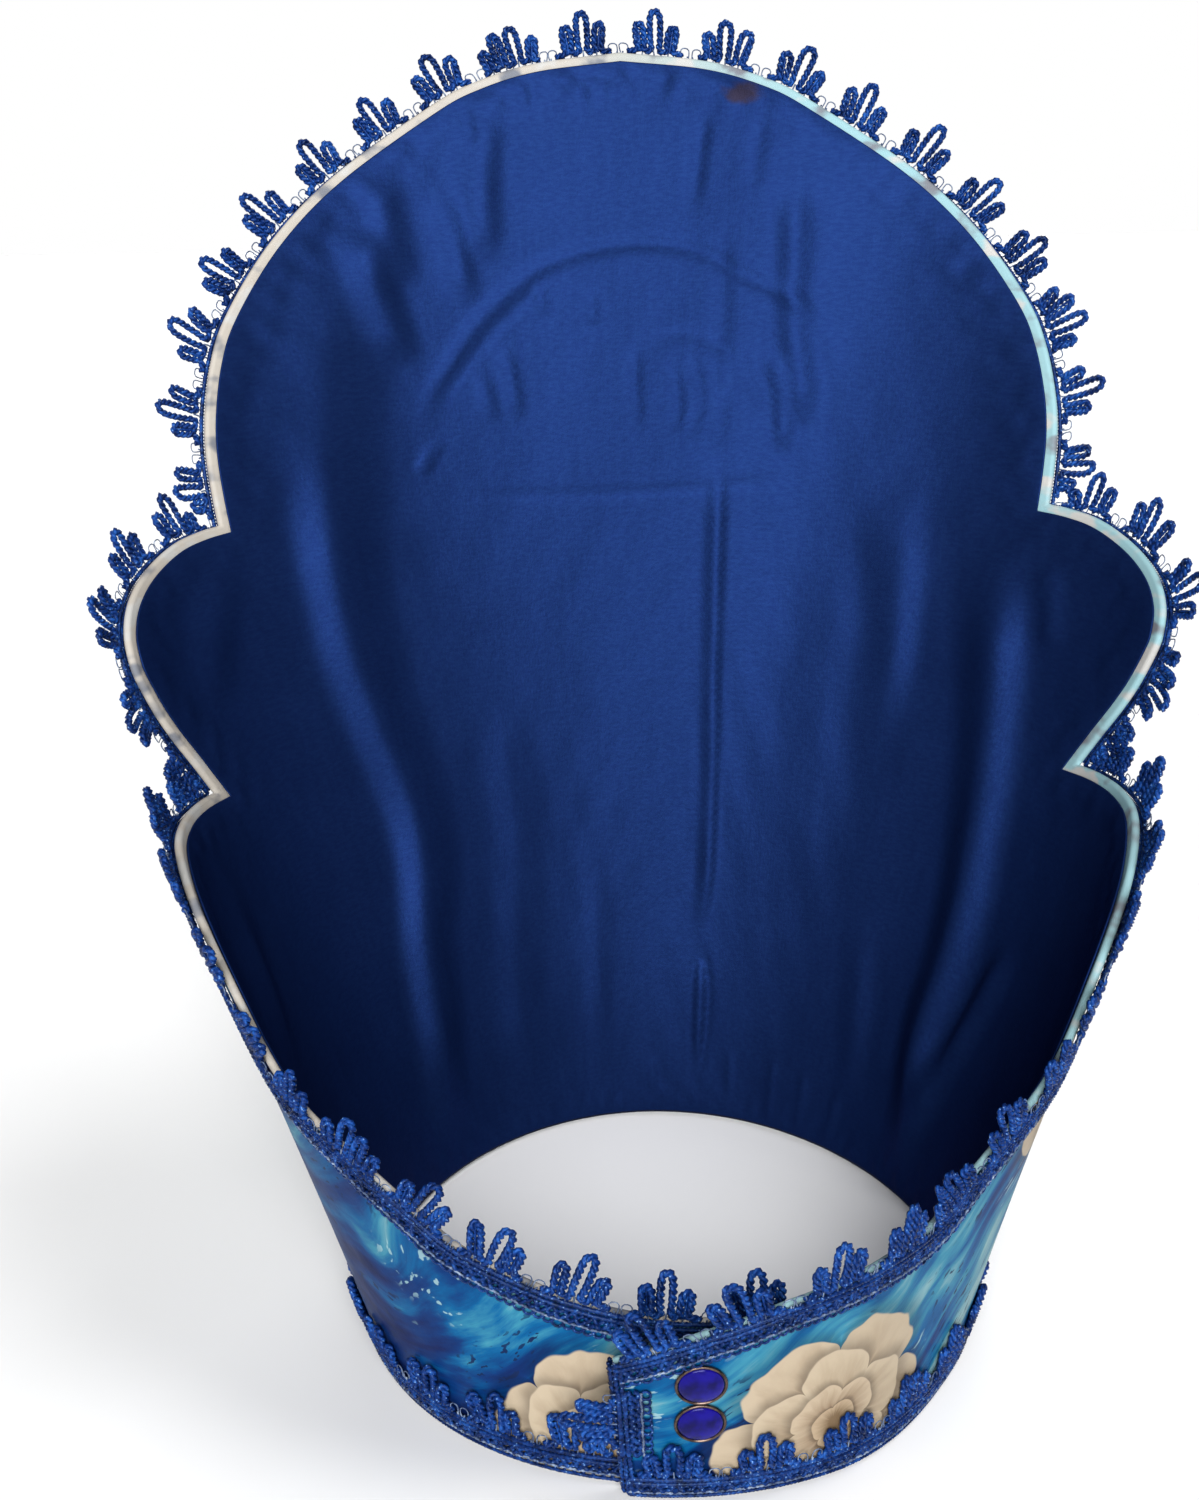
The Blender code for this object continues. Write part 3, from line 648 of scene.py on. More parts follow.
def braid_material(name, dark, middle, painted_highlight, painted_glint_share):
    """Lustrous twisted thread: noise gives it painted shade, as in its grooves, and a painted highlight, as
    on its crests, with fine pale flecks that are painted glints.
    """
    finish, n, shader = new_material(name)
    place = n.place()
    patch = n.noise(place, 160.0, 2.0)
    fine = n.noise(place, 900.0, 2.0)
    tone = n.plus(n.times(patch, 0.45), n.times(fine, 0.55))
    # Ramp from painted groove shade through the flank colour to a painted crest highlight
    color = n.ramp(tone, [(0.36, dark), (0.52, middle), (0.66, painted_highlight)])
    # Pale flecks mixed into the colour as painted glints
    glint_cells = n.add("TexVoronoi", {"Vector": place, "Scale": 1150.0}).outputs["Distance"]
    painted_glint = n.times(n.step(glint_cells, 0.30, 0.14), n.step(fine, 0.50, 0.60))
    color = n.mix(n.times(painted_glint, painted_glint_share), color, (0.16, 0.29, 0.50))
    rough = n.plus(n.times(patch, 0.25), 0.28)
    n.fill(shader, {"Base Color": color, "Normal": n.bump(fine, 0.5, 0.0005), "Roughness": rough})
    n.fill(shader, {"Specular IOR Level": 0.18, "Specular Tint": (0.45, 0.65, 1.0, 1.0)})
    return finish


def snap_material():
    """Glossy cap of a deep blue violet."""
    finish, n, shader = new_material("snap_gloss")
    place = n.place()
    cloud = n.noise(place, 220.0, 2.0)
    color = n.ramp(cloud, [(0.35, (0.0015, 0.001, 0.040)), (0.65, (0.005, 0.003, 0.130))])
    n.fill(shader, {"Base Color": color, "Roughness": n.plus(n.times(cloud, 0.08), 0.10)})
    n.fill(shader, {"Specular IOR Level": 0.18, "Specular Tint": (0.55, 0.55, 1.0, 1.0)})
    return finish


def bronze_material():
    """Dark bronzed metal, worn brighter in places."""
    finish, n, shader = new_material("snap_bronze")
    place = n.place()
    wear = n.noise(place, 600.0)
    color = n.ramp(wear, [(0.35, (0.040, 0.028, 0.024)), (0.65, (0.150, 0.105, 0.085))])
    rough = n.plus(n.times(wear, 0.3), 0.22)
    n.fill(shader, {"Base Color": color, "Roughness": rough, "Metallic": 1.0})
    return finish


# Cover and lining

COVER_STEP = 2.9 * MM
OUTLINE_STEP = 1.6 * MM
outline = closed_outline(OUTLINE_STEP)
cover = shell("printed_cover", outline, COVER_STEP, lambda sheet: 0.0 * sheet[:, 0], WALL, print_material())

# Folds and creases of the satin, each a crest from its top to its foot
# path of (turn, height in mm), width on its left and on its right in mm, depth in mm, faded ends in mm
FOLDS = (
    # Wide folds at the sides, with one long flank towards the back
    (((-44.5, 238), (-46.5, 215), (-48, 190), (-48, 165), (-46.5, 140), (-44.5, 117), (-45, 96),
      (-47.8, 75), (-49.3, 54), (-51, 33), (-53, 4)), 9, 15, 5.4, 46),
    (((-38, 300), (-41, 271), (-44, 245), (-46.5, 215), (-47.5, 190)), 15, 15, 3, 46),
    (((56, 206), (57, 193), (59, 170), (61, 151), (63, 131), (64.5, 112), (66, 92),
      (66.5, 71), (66, 49), (68, 26), (69, 2)), 12, 9, 6, 42),
    (((62.2, 196), (64.5, 183), (66.8, 168)), 5, 4, 1.6, 8),
    (((77.5, 88), (75, 62), (71.8, 40), (71, 20)), 6, 6, 2.6, 14),
    (((-84, 130), (-87, 96), (-90, 60)), 12, 9, 2.2, 30),
    (((-61, 205), (-66, 185), (-72, 160)), 8, 8, 1.6, 16),
    # Soft folds of the front
    (((41.3, 218), (42.4, 199), (43.6, 185), (44.3, 160), (43.5, 125)), 10, 7, 1.7, 34),
    (((33.5, 200), (34.5, 160), (35, 110), (36.5, 60)), 13, 12, 0.8, 45),
    (((24.3, 308), (24.8, 286), (25, 271), (26.5, 249), (28.2, 229)), 5, 5.5, 1.5, 14),
    (((22.6, 256), (24.3, 240), (25.4, 222)), 3, 3.2, 0.9, 8),
    (((-35.4, 297), (-35, 279), (-34, 267), (-33, 252)), 8, 5, 2.3, 11),
    (((-25.4, 308), (-24.7, 295), (-23.9, 282), (-23.2, 269)), 6, 3.4, 1.1, 12),
    (((-18.6, 334), (-19.4, 319), (-20.3, 304), (-20.6, 282)), 7, 5, 1.5, 14),
    (((-33, 312), (-32.6, 294), (-32.2, 276)), 6, 5, 1.5, 10),
    (((-25, 158), (-25, 127), (-25.2, 98), (-29, 48), (-30.3, 6)), 10, 12, 1.1, 40),
    (((-9, 96), (-9.6, 60), (-10.6, 8)), 7, 7, 0.6, 30),
    (((47, 80), (49.5, 48), (52, 14)), 8, 7, 1.4, 24),
    # The straight crease and the pinch at its foot
    (((15.5, 225), (15.5, 202), (15.5, 160), (15.8, 117), (15.5, 83), (14.1, 60)), 5, 2.4, 1.4, 24),
    (((15.3, 300), (15.4, 260), (15.5, 215)), 4, 2.6, 0.45, 20),
    (((15.2, 262), (15.4, 250), (15.5, 238)), 0.9, 0.9, -0.8, 8),
    (((14.1, 62), (12.6, 46), (12.8, 25), (13.9, 10)), 1.3, 1.1, -0.7, 10),
    (((14.1, 62), (16.2, 46), (15.9, 29), (14.3, 10)), 1.1, 1.6, -0.9, 10),
    (((14.2, 58), (14.3, 38), (14.1, 16)), 2.6, 2.6, 1, 14),
    # The arched edge of the padding behind the satin
    (((-32.4, 222), (-31.6, 234), (-30, 244), (-27, 253), (-22.9, 265), (-17.9, 275),
      (-12.2, 283), (-3.8, 288), (4.1, 289), (11.9, 286), (18.7, 278), (25.1, 271), (30.2, 257),
      (31.2, 238)), 3.4, 2.8, 0.6, 40),
    (((-29, 238), (-28, 244), (-21.5, 261), (-15.1, 273), (-10.5, 282)), 1.6, 1.6, -0.45, 14),
    (((-32.8, 219), (-31.4, 226), (-29.6, 229)), 1.3, 1.3, 1, 3),
    (((-32, 213), (-12, 211), (10, 212), (30, 215)), 1.8, 1.8, -0.24, 24),
    (((2.3, 256), (8.9, 261), (15.3, 256), (20, 245), (23, 231)), 3, 2.4, 0.32, 16),
    # Short wrinkles inside the arch
    (((-19.2, 260), (-18.2, 247), (-17.8, 233)), 3.4, 1.9, 0.8, 9),
    (((-23, 252), (-22, 243), (-21.6, 233)), 3.2, 1.9, 0.6, 8),
    (((-13, 278), (-13.1, 267)), 1.6, 1.1, 0.7, 3),
    (((-5.5, 275), (-5.2, 264)), 1.6, 1.1, 0.6, 3),
    (((1.8, 259), (1.6, 244), (2.2, 230)), 2.8, 1.6, 0.55, 9),
    (((6.9, 254), (8.6, 241), (7.9, 228)), 1.9, 1.4, 0.55, 8),
    (((10.4, 255), (12.3, 241), (10.2, 227)), 1.9, 1.4, 0.5, 8),
    # Puckers under the rim and over the foot
    (((-12.6, 342), (-12.6, 329)), 1.3, 1.3, -1.1, 4),
    (((-21.6, 333), (-21, 320)), 1.3, 1.3, -0.9, 4),
    (((-4.2, 341), (-4, 330)), 1.2, 1.2, -0.8, 4),
    (((-1.4, 341), (-1.5, 333)), 1.2, 1.2, -0.6, 3),
    (((7.7, 341), (7.6, 331)), 1.2, 1.2, -0.8, 4),
    (((20.2, 334), (19.4, 316), (18.9, 300)), 2.8, 2, 0.5, 14),
    (((12.4, 332), (11.2, 312), (10.6, 296)), 3.6, 2.2, 0.8, 13),
    (((32.6, 26), (32.8, 3)), 1.8, 1.8, 0.9, 6),
    (((40.4, 24), (40.6, 3)), 1.8, 1.8, 0.9, 6),
    (((48.6, 22), (48.8, 3)), 1.8, 1.8, 0.9, 6),
    (((3, 22), (3, 3)), 1.6, 1.6, 0.6, 6),
    (((22, 26), (22.4, 3)), 1.6, 1.6, 0.7, 6),
)


def fold_relief(plan, path, left, right, ends):
    """1 on the crest, falling to 0 at the widths to its left and right; plan in mm."""
    line = flat_plan(spline([(turn, height * MM) for turn, height in path], 6)) / MM
    marks = distances(line)
    reach = 2.0 * max(left, right)
    near = ((plan > line.min(axis=0) - reach) & (plan < line.max(axis=0) + reach)).all(axis=1)
    points = plan[near]
    nearest = np.full(len(points), 1e3)
    along = np.zeros(len(points))
    side = np.zeros(len(points))
    for index, (a, b) in enumerate(zip(line, line[1:])):
        run = b - a
        gap, share, apart = to_segment(points, a, run)
        closer = gap < nearest
        nearest = np.where(closer, gap, nearest)
        along = np.where(closer, marks[index] + share * (marks[index + 1] - marks[index]), along)
        side = np.where(closer, run[0] * apart[:, 1] - run[1] * apart[:, 0], side)
    width = np.where(side > 0, right, left)
    across = np.clip(nearest / width, 0.0, 1.0)
    flank = 1.0 - across
    round_crest = np.cos(across * np.pi / 2.0) ** 2
    profile = 0.45 * flank + 0.55 * round_crest
    relief = np.zeros(len(plan))
    relief[near] = profile * smooth(along, 0.0, ends) * smooth(marks[-1] - along, 0.0, ends)
    return relief


def waves(plan, count, across, upright, seed):
    """Gentle uneven waves; across and upright are the shortest and longest wavelengths in mm."""
    own = np.random.default_rng(seed)
    total = np.zeros(len(plan))
    for _ in range(count):
        x = own.choice([-1.0, 1.0]) * 2.0 * np.pi / own.uniform(*across)
        y = 2.0 * np.pi / own.uniform(*upright)
        total += np.sin(plan[:, 0] * x + plan[:, 1] * y + own.uniform(0.0, 2.0 * np.pi))
    return total / math.sqrt(count)


# Waves of the satin: depth in mm, then what waves() takes; the last ones fade from the edge
BROAD_WAVES = (0.22, (9, (24.0, 70.0), (120.0, 300.0), 3))
SMALL_WAVES = (0.05, (9, (9.0, 20.0), (20.0, 60.0), 4))
EDGE_WAVES = (0.30, (7, (6.0, 14.0), (9.0, 30.0), 5))
EDGE_WAVES_REACH = 9
MEAN_DEPTH = 0.6
LEAST_DEPTH = -0.35


def satin_depth(sheet, edge):
    """How far the satin stands in from its backing, in metres."""
    plan = flat_plan(sheet) / MM
    depth = BROAD_WAVES[0] * waves(plan, *BROAD_WAVES[1])
    depth = depth + SMALL_WAVES[0] * waves(plan, *SMALL_WAVES[1])
    fade = np.exp(-((edge / MM / EDGE_WAVES_REACH) ** 2))
    depth = depth + EDGE_WAVES[0] * waves(plan, *EDGE_WAVES[1]) * fade
    for path, left, right, crest, ends in FOLDS:
        depth = depth + crest * fold_relief(plan, path, left, right, ends)
    return np.maximum(depth + MEAN_DEPTH, LEAST_DEPTH) * MM


SATIN = 0.7 * MM
LINING_STEP = 1.85 * MM
LINING_HEM = 1.2 * MM
lining_outline = uncrossed(offset_loop(outline, -LINING_INSET), outline, LINING_INSET)
lining_outline[lining_outline[:, 1] < LINING_INSET + 0.4 * MM, 1] = LINING_HEM


SATIN_LIES_OUT = 0.3 * MM
GLUED_EDGE = 4 * MM


def lining_face(sheet):
    """Where the satin's outer side lies; it is flat at its glued edge."""
    edge = inside(flat_plan(sheet), flat_plan(lining_outline))[1]
    settle = smooth(edge, 0.0, GLUED_EDGE)
    return -LINING_DEPTH + SATIN_LIES_OUT - satin_depth(sheet, edge) * settle


lining = shell("satin_lining", lining_outline, LINING_STEP, lining_face, SATIN, satin_material())


# Braid

# Strands of a twisted cord, as shares of its radius
STRAND_OFFSET = 0.48
STRAND_SHARE = 0.58


class Threads:
    """Round threads laid on the cover, collected and then made into one mesh."""

    def __init__(self):
        self.runs = []

    def lay(self, route, points, radius, beads=0.0):
        """points: distance along the route, away from it and lift, in metres."""
        points = np.asarray(points, float)
        room = np.where(points[:, 1] > 0, route.room(points[:, 0], FAN_HEIGHT), 1.0)
        turn, rise = route.plan(np.clip(points[:, 0], 0.0, route.length), points[:, 1] * room)
        normal = frame_at(turn, rise)[2]
        placed = wall_point(turn, rise) + normal * points[:, 2:3]
        radii = np.full(len(points), radius)
        radii[1::2] *= 1.0 - beads
        self.runs.append((placed, normal, radii))

    def lay_twisted(self, route, points, radius, twist):
        """A cord of two strands, which turn once round each other in the length twist."""
        self.lay(route, points, radius)
        placed, normal, _ = self.runs.pop()
        along = unit(np.gradient(placed, axis=0))
        side = unit(np.cross(along, normal))
        up = np.cross(side, along)
        marks = distances(placed)
        for half in (0.0, np.pi):
            turn = (2.0 * np.pi * marks / twist + half)[:, None]
            strand = placed + STRAND_OFFSET * radius * (np.cos(turn) * side + np.sin(turn) * up)
            self.runs.append((strand, normal, np.full(len(points), STRAND_SHARE * radius)))

    def build(self, name, sides, finish):
        """One mesh of all the threads, each a tube with flat ends."""
        centres = np.vstack([run[0] for run in self.runs])
        normals = np.vstack([run[1] for run in self.runs])
        radii = np.concatenate([run[2] for run in self.runs])
        tangents = unit(np.vstack([np.gradient(run[0], axis=0) for run in self.runs]))
        side = unit(np.cross(tangents, normals))
        up = np.cross(side, tangents)
        angles = 2.0 * np.pi * np.arange(sides) / sides
        cosines = np.cos(angles)[None, :, None]
        sines = np.sin(angles)[None, :, None]
        ring = side[:, None] * cosines + up[:, None] * sines
        vertices = (centres[:, None] + ring * radii[:, None, None]).reshape(-1, 3)
        counts = [len(run[0]) for run in self.runs]
        starts = np.concatenate([[0], np.cumsum(counts)[:-1]])
        faces = []
        corner = np.arange(sides)
        following = (corner + 1) % sides
        for start, count in zip(starts, counts):
            near = (start + np.arange(count - 1))[:, None] * sides
            far = near + sides
            quads = columns(near + corner, near + following, far + following, far + corner)
            faces += quads.reshape(-1, 4).tolist()
            faces.append((start * sides + corner[::-1]).tolist())
            faces.append(((start + count - 1) * sides + corner).tolist())
        return new_object(name, vertices, faces, finish)


def even_steps(points, step):
    """Points at even distances on the smooth curve through the given ones."""
    curve = spline(points, 8)
    return at_even_steps(curve, distances(curve), step, 3)


# across: share of a loop's width, up: share of its rise
LOOP_ROWS = (
    (-0.40, 0.00), (-0.47, 0.24), (-0.50, 0.55), (-0.49, 0.80), (-0.33, 0.950), (0.00, 1.00),
    (0.33, 0.950), (0.49, 0.80), (0.50, 0.55), (0.47, 0.24), (0.40, 0.00),
)
LOOP_BULGE = 0.35 * MM


def loop_points(middle, foot, top, width, lean, lift):
    """One upright loop of thread: up one leg, round the top and down the other."""
    rise = top - foot
    points = []
    for across, up in LOOP_ROWS:
        along = middle + across * width + lean * up * rise
        points.append((along, foot + up * rise, lift + LOOP_BULGE * math.sin(3.0 * up)))
    return points


CORD = 1.12 * MM
CORD_TWIST = 3.6 * MM
SOLID_LOOP = 0.9
THREAD_LIFT = 1.30 * MM
FINE_THREAD = 0.24 * MM
PICOT_THREAD = 0.19 * MM
STITCH = 0.64 * MM
RING_THREAD = 0.36 * MM
DOTTED_CORD = 0.46 * MM
FOOT_CORD = 0.5 * MM
EDGE_CORD = 0.62 * MM
FAN_FOOT = 1.9 * MM
FAN_TAIL = 1.1 * MM
SPINE = 0.55 * MM
# Kinds of fan, each with the random number that it is used below, and its loops:
# place across the fan in mm, height as a share, width in mm between the legs' middles, lean
FAN_SHAPES = (
    (0.74, ((-4.6, 0.70, 2.6, -0.10), (0.0, 1.0, 3.3, 0.0), (4.6, 0.70, 2.6, 0.12))),
    (0.90, ((-5.2, 0.66, 2.6, -0.16), (-0.9, 0.98, 3.2, -0.10), (3.9, 0.86, 3.1, 0.20))),
    (1.00, (
        (-6.6, 0.58, 2.3, -0.14), (-2.5, 0.87, 2.7, -0.05), (2.0, 0.98, 3.0, 0.04), (6.5, 0.62, 2.3, 0.16),
    )),
)


def lay_fan(threads, route, start, pitch, height):
    """Three or four upright loops of thick thread, with ends that flare out along the rim.

    The low loops hold a spine of thread, so they look solid.
    """
    middle = start + pitch / 2.0
    kind = rng.random()
    lean = rng.normal(0.0, 0.06)
    share = pitch / FAN_PITCH
    loops = next(shape for limit, shape in FAN_SHAPES if kind < limit)
    far, near = 8.8 * share * MM, 7.4 * share * MM
    raised = FAN_TAIL + 0.2 * MM
    path = [(middle - far, FAN_TAIL, THREAD_LIFT), (middle - near, raised, THREAD_LIFT)]
    for across, top, width, tilt in loops:
        path += loop_points(
            middle + across * share * MM,
            FAN_FOOT,
            height * top * (1.0 + rng.normal(0.0, 0.035)) - 0.5 * CORD,
            width * MM,
            tilt + lean + rng.normal(0.0, 0.03),
            THREAD_LIFT + rng.normal(0.0, 0.12) * MM,
        )
    path += [(middle + near, raised, THREAD_LIFT), (middle + far, FAN_TAIL, THREAD_LIFT)]
    threads.lay_twisted(route, even_steps(path, 0.55 * MM), CORD, CORD_TWIST)
    for across, top, _, tilt in loops:
        if top < SOLID_LOOP:
            rise = height * top - 2.0 * MM
            x = middle + across * share * MM
            slant = (tilt + lean) * rise
            spine = [
                (x, FAN_FOOT - 0.6 * MM, THREAD_LIFT),
                (x + 0.5 * slant, 0.5 * (FAN_FOOT + rise), THREAD_LIFT),
                (x + slant, rise, THREAD_LIFT),
            ]
            threads.lay(route, even_steps(spine, 0.6 * MM), SPINE, 0.3)


def lay_fine(threads, route, start, pitch):
    """Fine grey threads: the ladder between header and fans, and the picots between fans."""
    bars = 11
    for k in range(bars):
        x = start + pitch * (k + 0.5) / bars
        tilt = rng.normal(0.0, 0.15) * MM
        top = 2.4 * MM if 2 <= k <= 8 else 1.0 * MM
        rows = ((x, -0.6 * MM), (x + tilt, 0.5 * top), (x + 2 * tilt, top))
        bar = [(along, away, THREAD_LIFT) for along, away in rows]
        threads.lay(route, bar, FINE_THREAD)
    for side in (-1.7, 1.7):
        x = start + side * MM
        if not 0.0 < x < route.length:
            continue
        loop = loop_points(x, 0.0, 3.4 * MM, 2.6 * MM, rng.normal(0.0, 0.1), THREAD_LIFT)
        threads.lay(route, even_steps(loop, 0.75 * MM), PICOT_THREAD)


def lay_band(threads, route, start, pitch, depth):
    """Dense header on the cover: two cords at its top, packed stitches, and small rings at its foot."""
    for away, radius in ((-0.3 * MM, 0.80 * MM), (-1.85 * MM, 0.70 * MM)):
        cord = [(start + pitch * k / 6.0, away, THREAD_LIFT) for k in range(7)]
        threads.lay(route, even_steps(cord, 0.5 * MM), radius, 0.28)
    periods = 9
    count = periods * 6
    k = np.arange(count + 1)
    for row, (middle, swing) in enumerate(((0.40, 0.12), (0.60, 0.11))):
        phase = 2.0 * np.pi * k * periods / count + row * 1.9
        x = start + pitch * k / count + 0.5 * MM * np.sin(2.0 * phase)
        y = -depth * middle + depth * swing * np.sin(phase)
        z = THREAD_LIFT - 0.15 * MM + 0.25 * MM * np.cos(phase * 1.5)
        threads.lay(route, columns(x, y, z), STITCH, 0.15)
    rings = 9
    for k in range(rings):
        middle = start + pitch * (k + 0.5) / rings
        size = 1.15 * MM * (1.0 + rng.normal(0.0, 0.08))
        angle = np.linspace(0.0, 2.0 * np.pi, 10) + rng.random()
        x = middle + size * np.cos(angle)
        y = -depth + 1.2 * MM + size * np.sin(angle)
        z = THREAD_LIFT - 0.4 * MM + 0.1 * MM * np.cos(angle)
        threads.lay(route, columns(x, y, z), RING_THREAD)


def lay_dots(threads, route, start, pitch, depth):
    """Fuzzy dotted cord along the header."""
    lift = THREAD_LIFT + 0.2 * MM
    cord = [(start + pitch * k / 8.0, -depth * 0.72 + 0.2 * MM * (k % 2), lift) for k in range(9)]
    threads.lay(route, even_steps(cord, 0.55 * MM), DOTTED_CORD, 0.45)


def lay_braid(routes, pitch, height, header):
    """Whole fans along each route, with their header: the fans, the band and the fine threads."""
    fans, band, fine = Threads(), Threads(), Threads()
    for route in routes:
        count = max(1, round(route.length / pitch))
        step = route.length / count
        for index in range(count):
            start = index * step
            lay_fan(fans, route, start, step, height)
            lay_fine(fine, route, start, step)
            lay_band(band, route, start, step, header)
            lay_dots(fine, route, start, step, header)
    return fans, band, fine


# Kinds of thread: colours of its painted groove shade, of its flanks and of its painted crest highlight, and
# its share of painted glints
royal = braid_material(
    "braid_royal", (0.0015, 0.005, 0.030), (0.003, 0.020, 0.115), (0.010, 0.060, 0.250), 0.75
)
navy = braid_material(
    "braid_navy", (0.0015, 0.004, 0.020), (0.003, 0.015, 0.085), (0.009, 0.048, 0.200), 0.65
)
grey = braid_material(
    "braid_grey", (0.020, 0.032, 0.070), (0.070, 0.095, 0.160), (0.200, 0.250, 0.330), 0.3
)

last_stretch = len(rim_stretches) - 1
rim_routes = [Route(points, index > 0, index < last_stretch) for index, points in enumerate(rim_stretches)]
low_line = LOW_BRAID_RISE + LOW_HEADER
low_turns = np.linspace(-(360.0 - FLAP_FOOT_TURN) + 0.9, FLAP_FOOT_TURN - 0.35, 181)
low_routes = [Route(columns(low_turns, low_line + 0.0 * low_turns))]
closure_top = flap_top[1] - HEADER - 0.6 * MM
closure_foot = low_line + 0.3 * MM + LOW_FAN_HEIGHT * 0.62
closure_turn = FLAP_FOOT_TURN + (flap_top[0] - FLAP_FOOT_TURN) * 0.5
closure_heights = np.linspace(closure_top, closure_foot, 21)
closure_routes = [Route(columns(closure_turn + 0.0 * closure_heights, closure_heights))]
edge_heights = np.linspace(flap_top[1] - 1.0 * MM, LOW_BRAID_RISE + 0.8 * MM, 31)
edge_turns = np.interp(edge_heights, [0.0, flap_top[1]], [FLAP_FOOT_TURN, flap_top[0]])
edge_route = Route(columns(edge_turns, edge_heights))

# Cords that close the flap's cut edge: distance past the edge, and lift, in mm
CLOSING_CORDS = ((-1.9, 1.3), (-0.6, 1.2), (0.6, 0.5), (0.95, -0.7), (0.8, -1.9))
CLOSURE_PITCH = 24 * MM

for node, prefix, routes, pitch, height, header in (
    ("top_lace", "rim", rim_routes, FAN_PITCH, FAN_HEIGHT, HEADER),
    ("bottom_lace", "base", low_routes, FAN_PITCH, LOW_FAN_HEIGHT, LOW_HEADER),
    ("closure_lace", "closure", closure_routes, CLOSURE_PITCH, FAN_HEIGHT, HEADER),
):
    fans, band, fine = lay_braid(routes, pitch, height, header)
    if prefix == "base":
        # A cord along the foot, over the rings' lower halves
        run = np.arange(0.0, routes[0].length, 0.5 * MM)
        cord = columns(run, 0.0 * run - header + 0.45 * MM, 0.0 * run + 1.1 * MM)
        band.lay(routes[0], cord, FOOT_CORD, 0.25)
    if prefix == "closure":
        for away, lift in CLOSING_CORDS:
            run = np.linspace(0.0, edge_route.length, 90)
            sway = 0.25 * MM * np.sin(np.arange(90) * 1.9)
            cord = columns(run, away * MM + sway, lift * MM + 0.0 * run)
            band.lay(edge_route, cord, EDGE_CORD, 0.25)
    parts = (("fans", fans, 4, royal), ("band", band, 5, navy), ("fine", fine, 4, grey))
    for part, threads, sides, finish in parts:
        piece = threads.build(f"{prefix}_braid_{part}", sides, finish)
        carry(piece, node)


# Snaps

def snap_place(height):
    """Where a snap sits on the flap, with its axis along the flap's normal."""
    normal = Vector(frame_at(SNAP_TURN, height)[2])
    point = Vector(lifted_point(np.array(SNAP_TURN), np.array(height), SNAP_LIFT))
    return Matrix.Translation(point) @ normal.to_track_quat("Z", "Y").to_matrix().to_4x4()


def turned(name, profile, place, finish, segments=64):
    """Closed turned piece: the profile's rings and its two middles."""
    vertices = []
    faces = []
    for radius, rise in profile:
        angle = 2.0 * np.pi * np.arange(segments) / segments
        vertices.append(columns(radius * np.cos(angle), radius * np.sin(angle), np.full(segments, rise)))
    for index in range(len(profile)):
        following = (index + 1) % len(profile)
        faces += strip(index * segments, following * segments, segments)
    item = new_object(name, np.vstack(vertices), faces, finish)
    mend(item, 1e-6)
    item.matrix_world = place
    return item


gloss = snap_material()
bronze = bronze_material()
quarter = np.linspace(0.0, np.pi / 2.0, DOME_STEPS + 1)
dome = [(SNAP_RADIUS * math.sin(a), SNAP_SKIRT + SNAP_CROWN * math.cos(a)) for a in quarter]
dome += [(SNAP_RADIUS, 0.0), (0.0, 0.0)]
ring_middle = SNAP_RADIUS + RING_GAP + RING_HALF_WIDTH
around = np.linspace(0, 2 * np.pi, 13)[:-1]
ring = [(ring_middle + RING_HALF_WIDTH * math.cos(a), RING_HALF_RISE * (1.0 + math.sin(a))) for a in around]
for level, snap_height in SNAP_HEIGHTS.items():
    cap = turned("snap_dome_" + level, dome, snap_place(snap_height), gloss)
    carry(cap, "snap_cap_" + level)
    rim = turned("snap_ring_" + level, ring, snap_place(snap_height), bronze)
    carry(rim, "snap_rim_" + level)

carry(cover, "crown_wall")
carry(lining, "lining")


# Floor, light and camera

FLOOR_HALF = 6


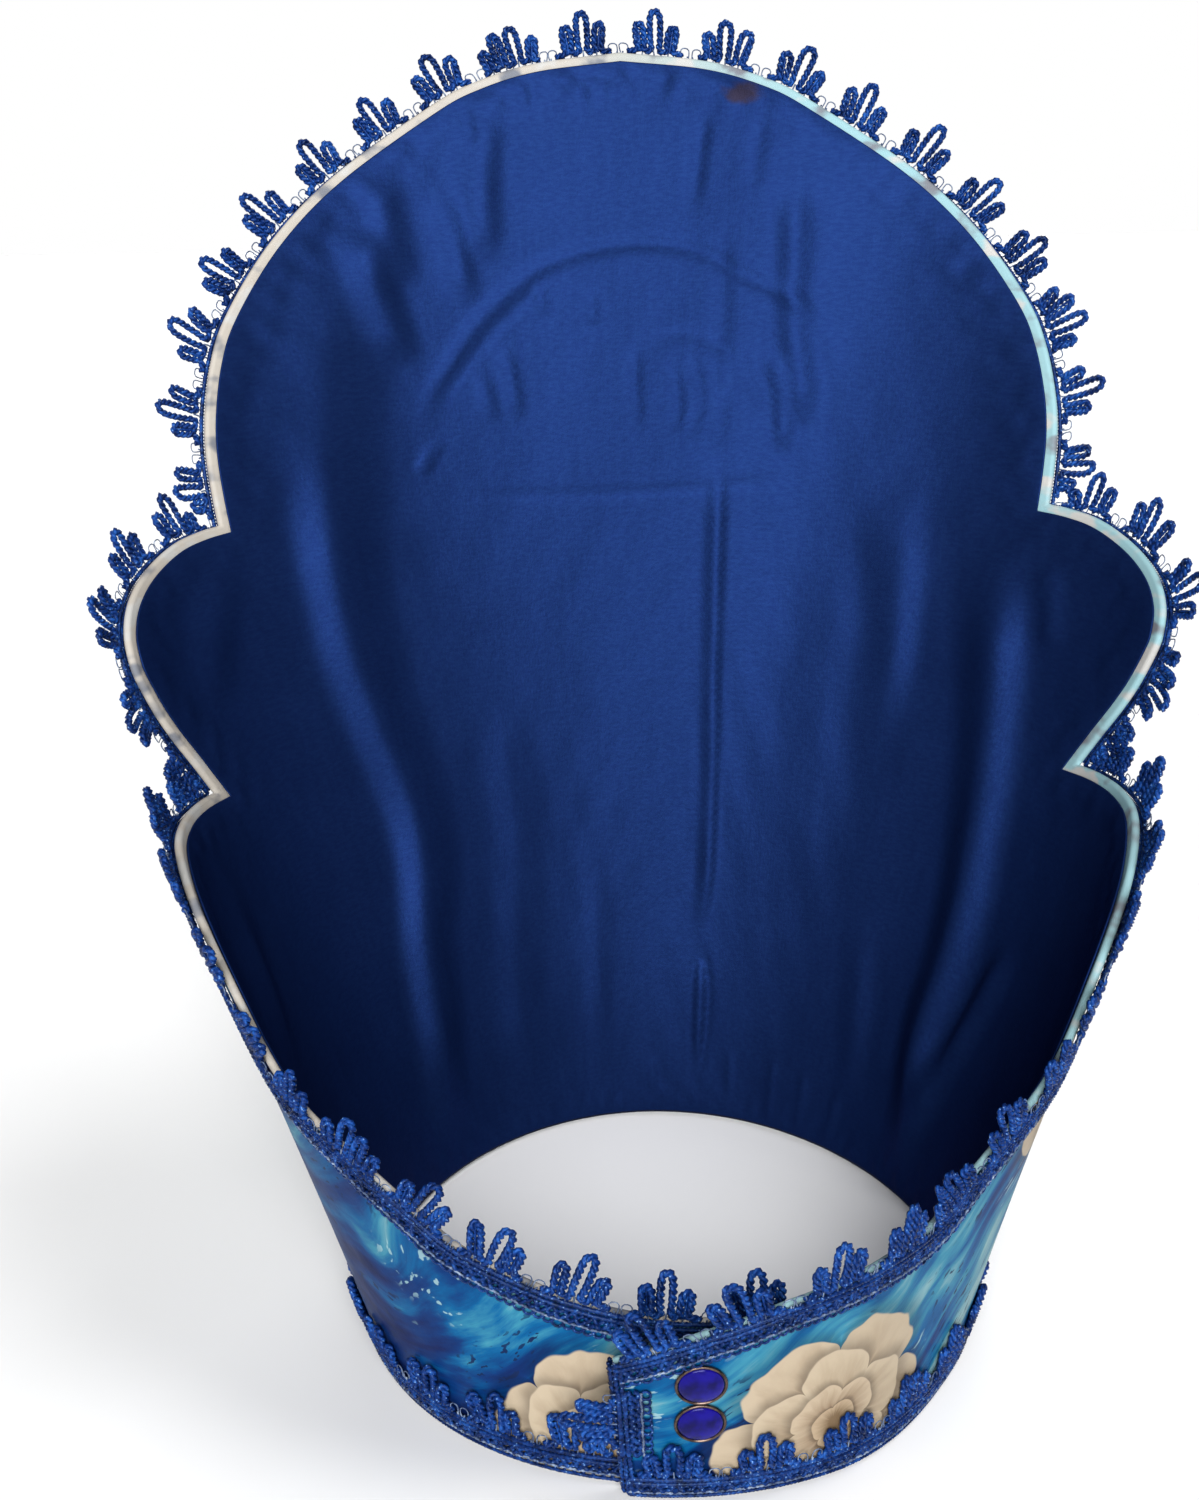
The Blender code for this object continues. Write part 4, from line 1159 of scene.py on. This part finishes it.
def floor_plane():
    mesh = bpy.data.meshes.new("floor")
    side = FLOOR_HALF
    corners = [(-side, -side, 0), (side, -side, 0), (side, side, 0), (-side, side, 0)]
    mesh.from_pydata(corners, [], [(0, 1, 2, 3)])
    finish, n, shader = new_material("pale_floor")
    place = n.place()
    color = n.ramp(n.noise(place, 3.0), [(0.3, (0.79, 0.79, 0.79)), (0.7, (0.81, 0.81, 0.81))])
    n.fill(shader, {"Base Color": color, "Roughness": 0.75, "Specular IOR Level": 0.2})
    mesh.materials.append(finish)
    return add_object("floor", mesh)


floor_plane()


def sun_light(name, come_from, strength, spread_degrees):
    """Soft light that reaches the whole floor alike."""
    light = bpy.data.lights.new(name, "SUN")
    light.energy = strength
    light.angle = math.radians(spread_degrees)
    item = add_object(name, light)
    item.location = come_from
    item.rotation_mode = "QUATERNION"
    item.rotation_quaternion = (-Vector(come_from)).to_track_quat("-Z", "Y")


sun_light("key", (0.10, 1.0, 0.35), 6.1, 40.0)
sun_light("fill", (-0.10, 1.0, 0.80), 0.9, 20.0)
sun_light("top", (-0.42, 0.0, 1.0), 1.2, 26.0)
sun_light("behind", (-0.15, -1.0, 0.13), 2.4, 50.0)

world = bpy.data.worlds.new("studio")
bpy.context.scene.world = world
world.use_nodes = True
sky = Nodes(world.node_tree)
background = world.node_tree.nodes["Background"]
seen = sky.add("LightPath").outputs["Is Camera Ray"]
SKY_LIGHT = 0.04
strength = sky.plus(sky.times(seen, 1.0 - SKY_LIGHT), SKY_LIGHT)
sky.fill(background, {"Color": (1.0, 1.0, 1.0, 1.0), "Strength": strength})
bpy.context.scene.view_settings.view_transform = "Standard"

FOCAL_PIXELS = 1917.8
SENSOR = 36
PHOTO_HEIGHT = 1500
CAMERA_PLACE = Vector((0.03883, 0.49807 + 0.0138, 0.32058))
# Turns about Z, X and the camera's own axis, in degrees
CAMERA_TURNS = ((180.0 - 2.5586, "Z"), (90.0 - 17.598, "X"), (-1.0213, "Z"))
lens = bpy.data.cameras.new("camera")
lens.sensor_width = SENSOR
lens.lens = FOCAL_PIXELS * SENSOR / PHOTO_HEIGHT
lens.clip_start = 0.01
camera = add_object("camera", lens)
camera.matrix_world = Matrix.Translation(CAMERA_PLACE)
for degrees, axis in CAMERA_TURNS:
    camera.matrix_world = camera.matrix_world @ Matrix.Rotation(math.radians(degrees), 4, axis)
bpy.context.scene.camera = camera
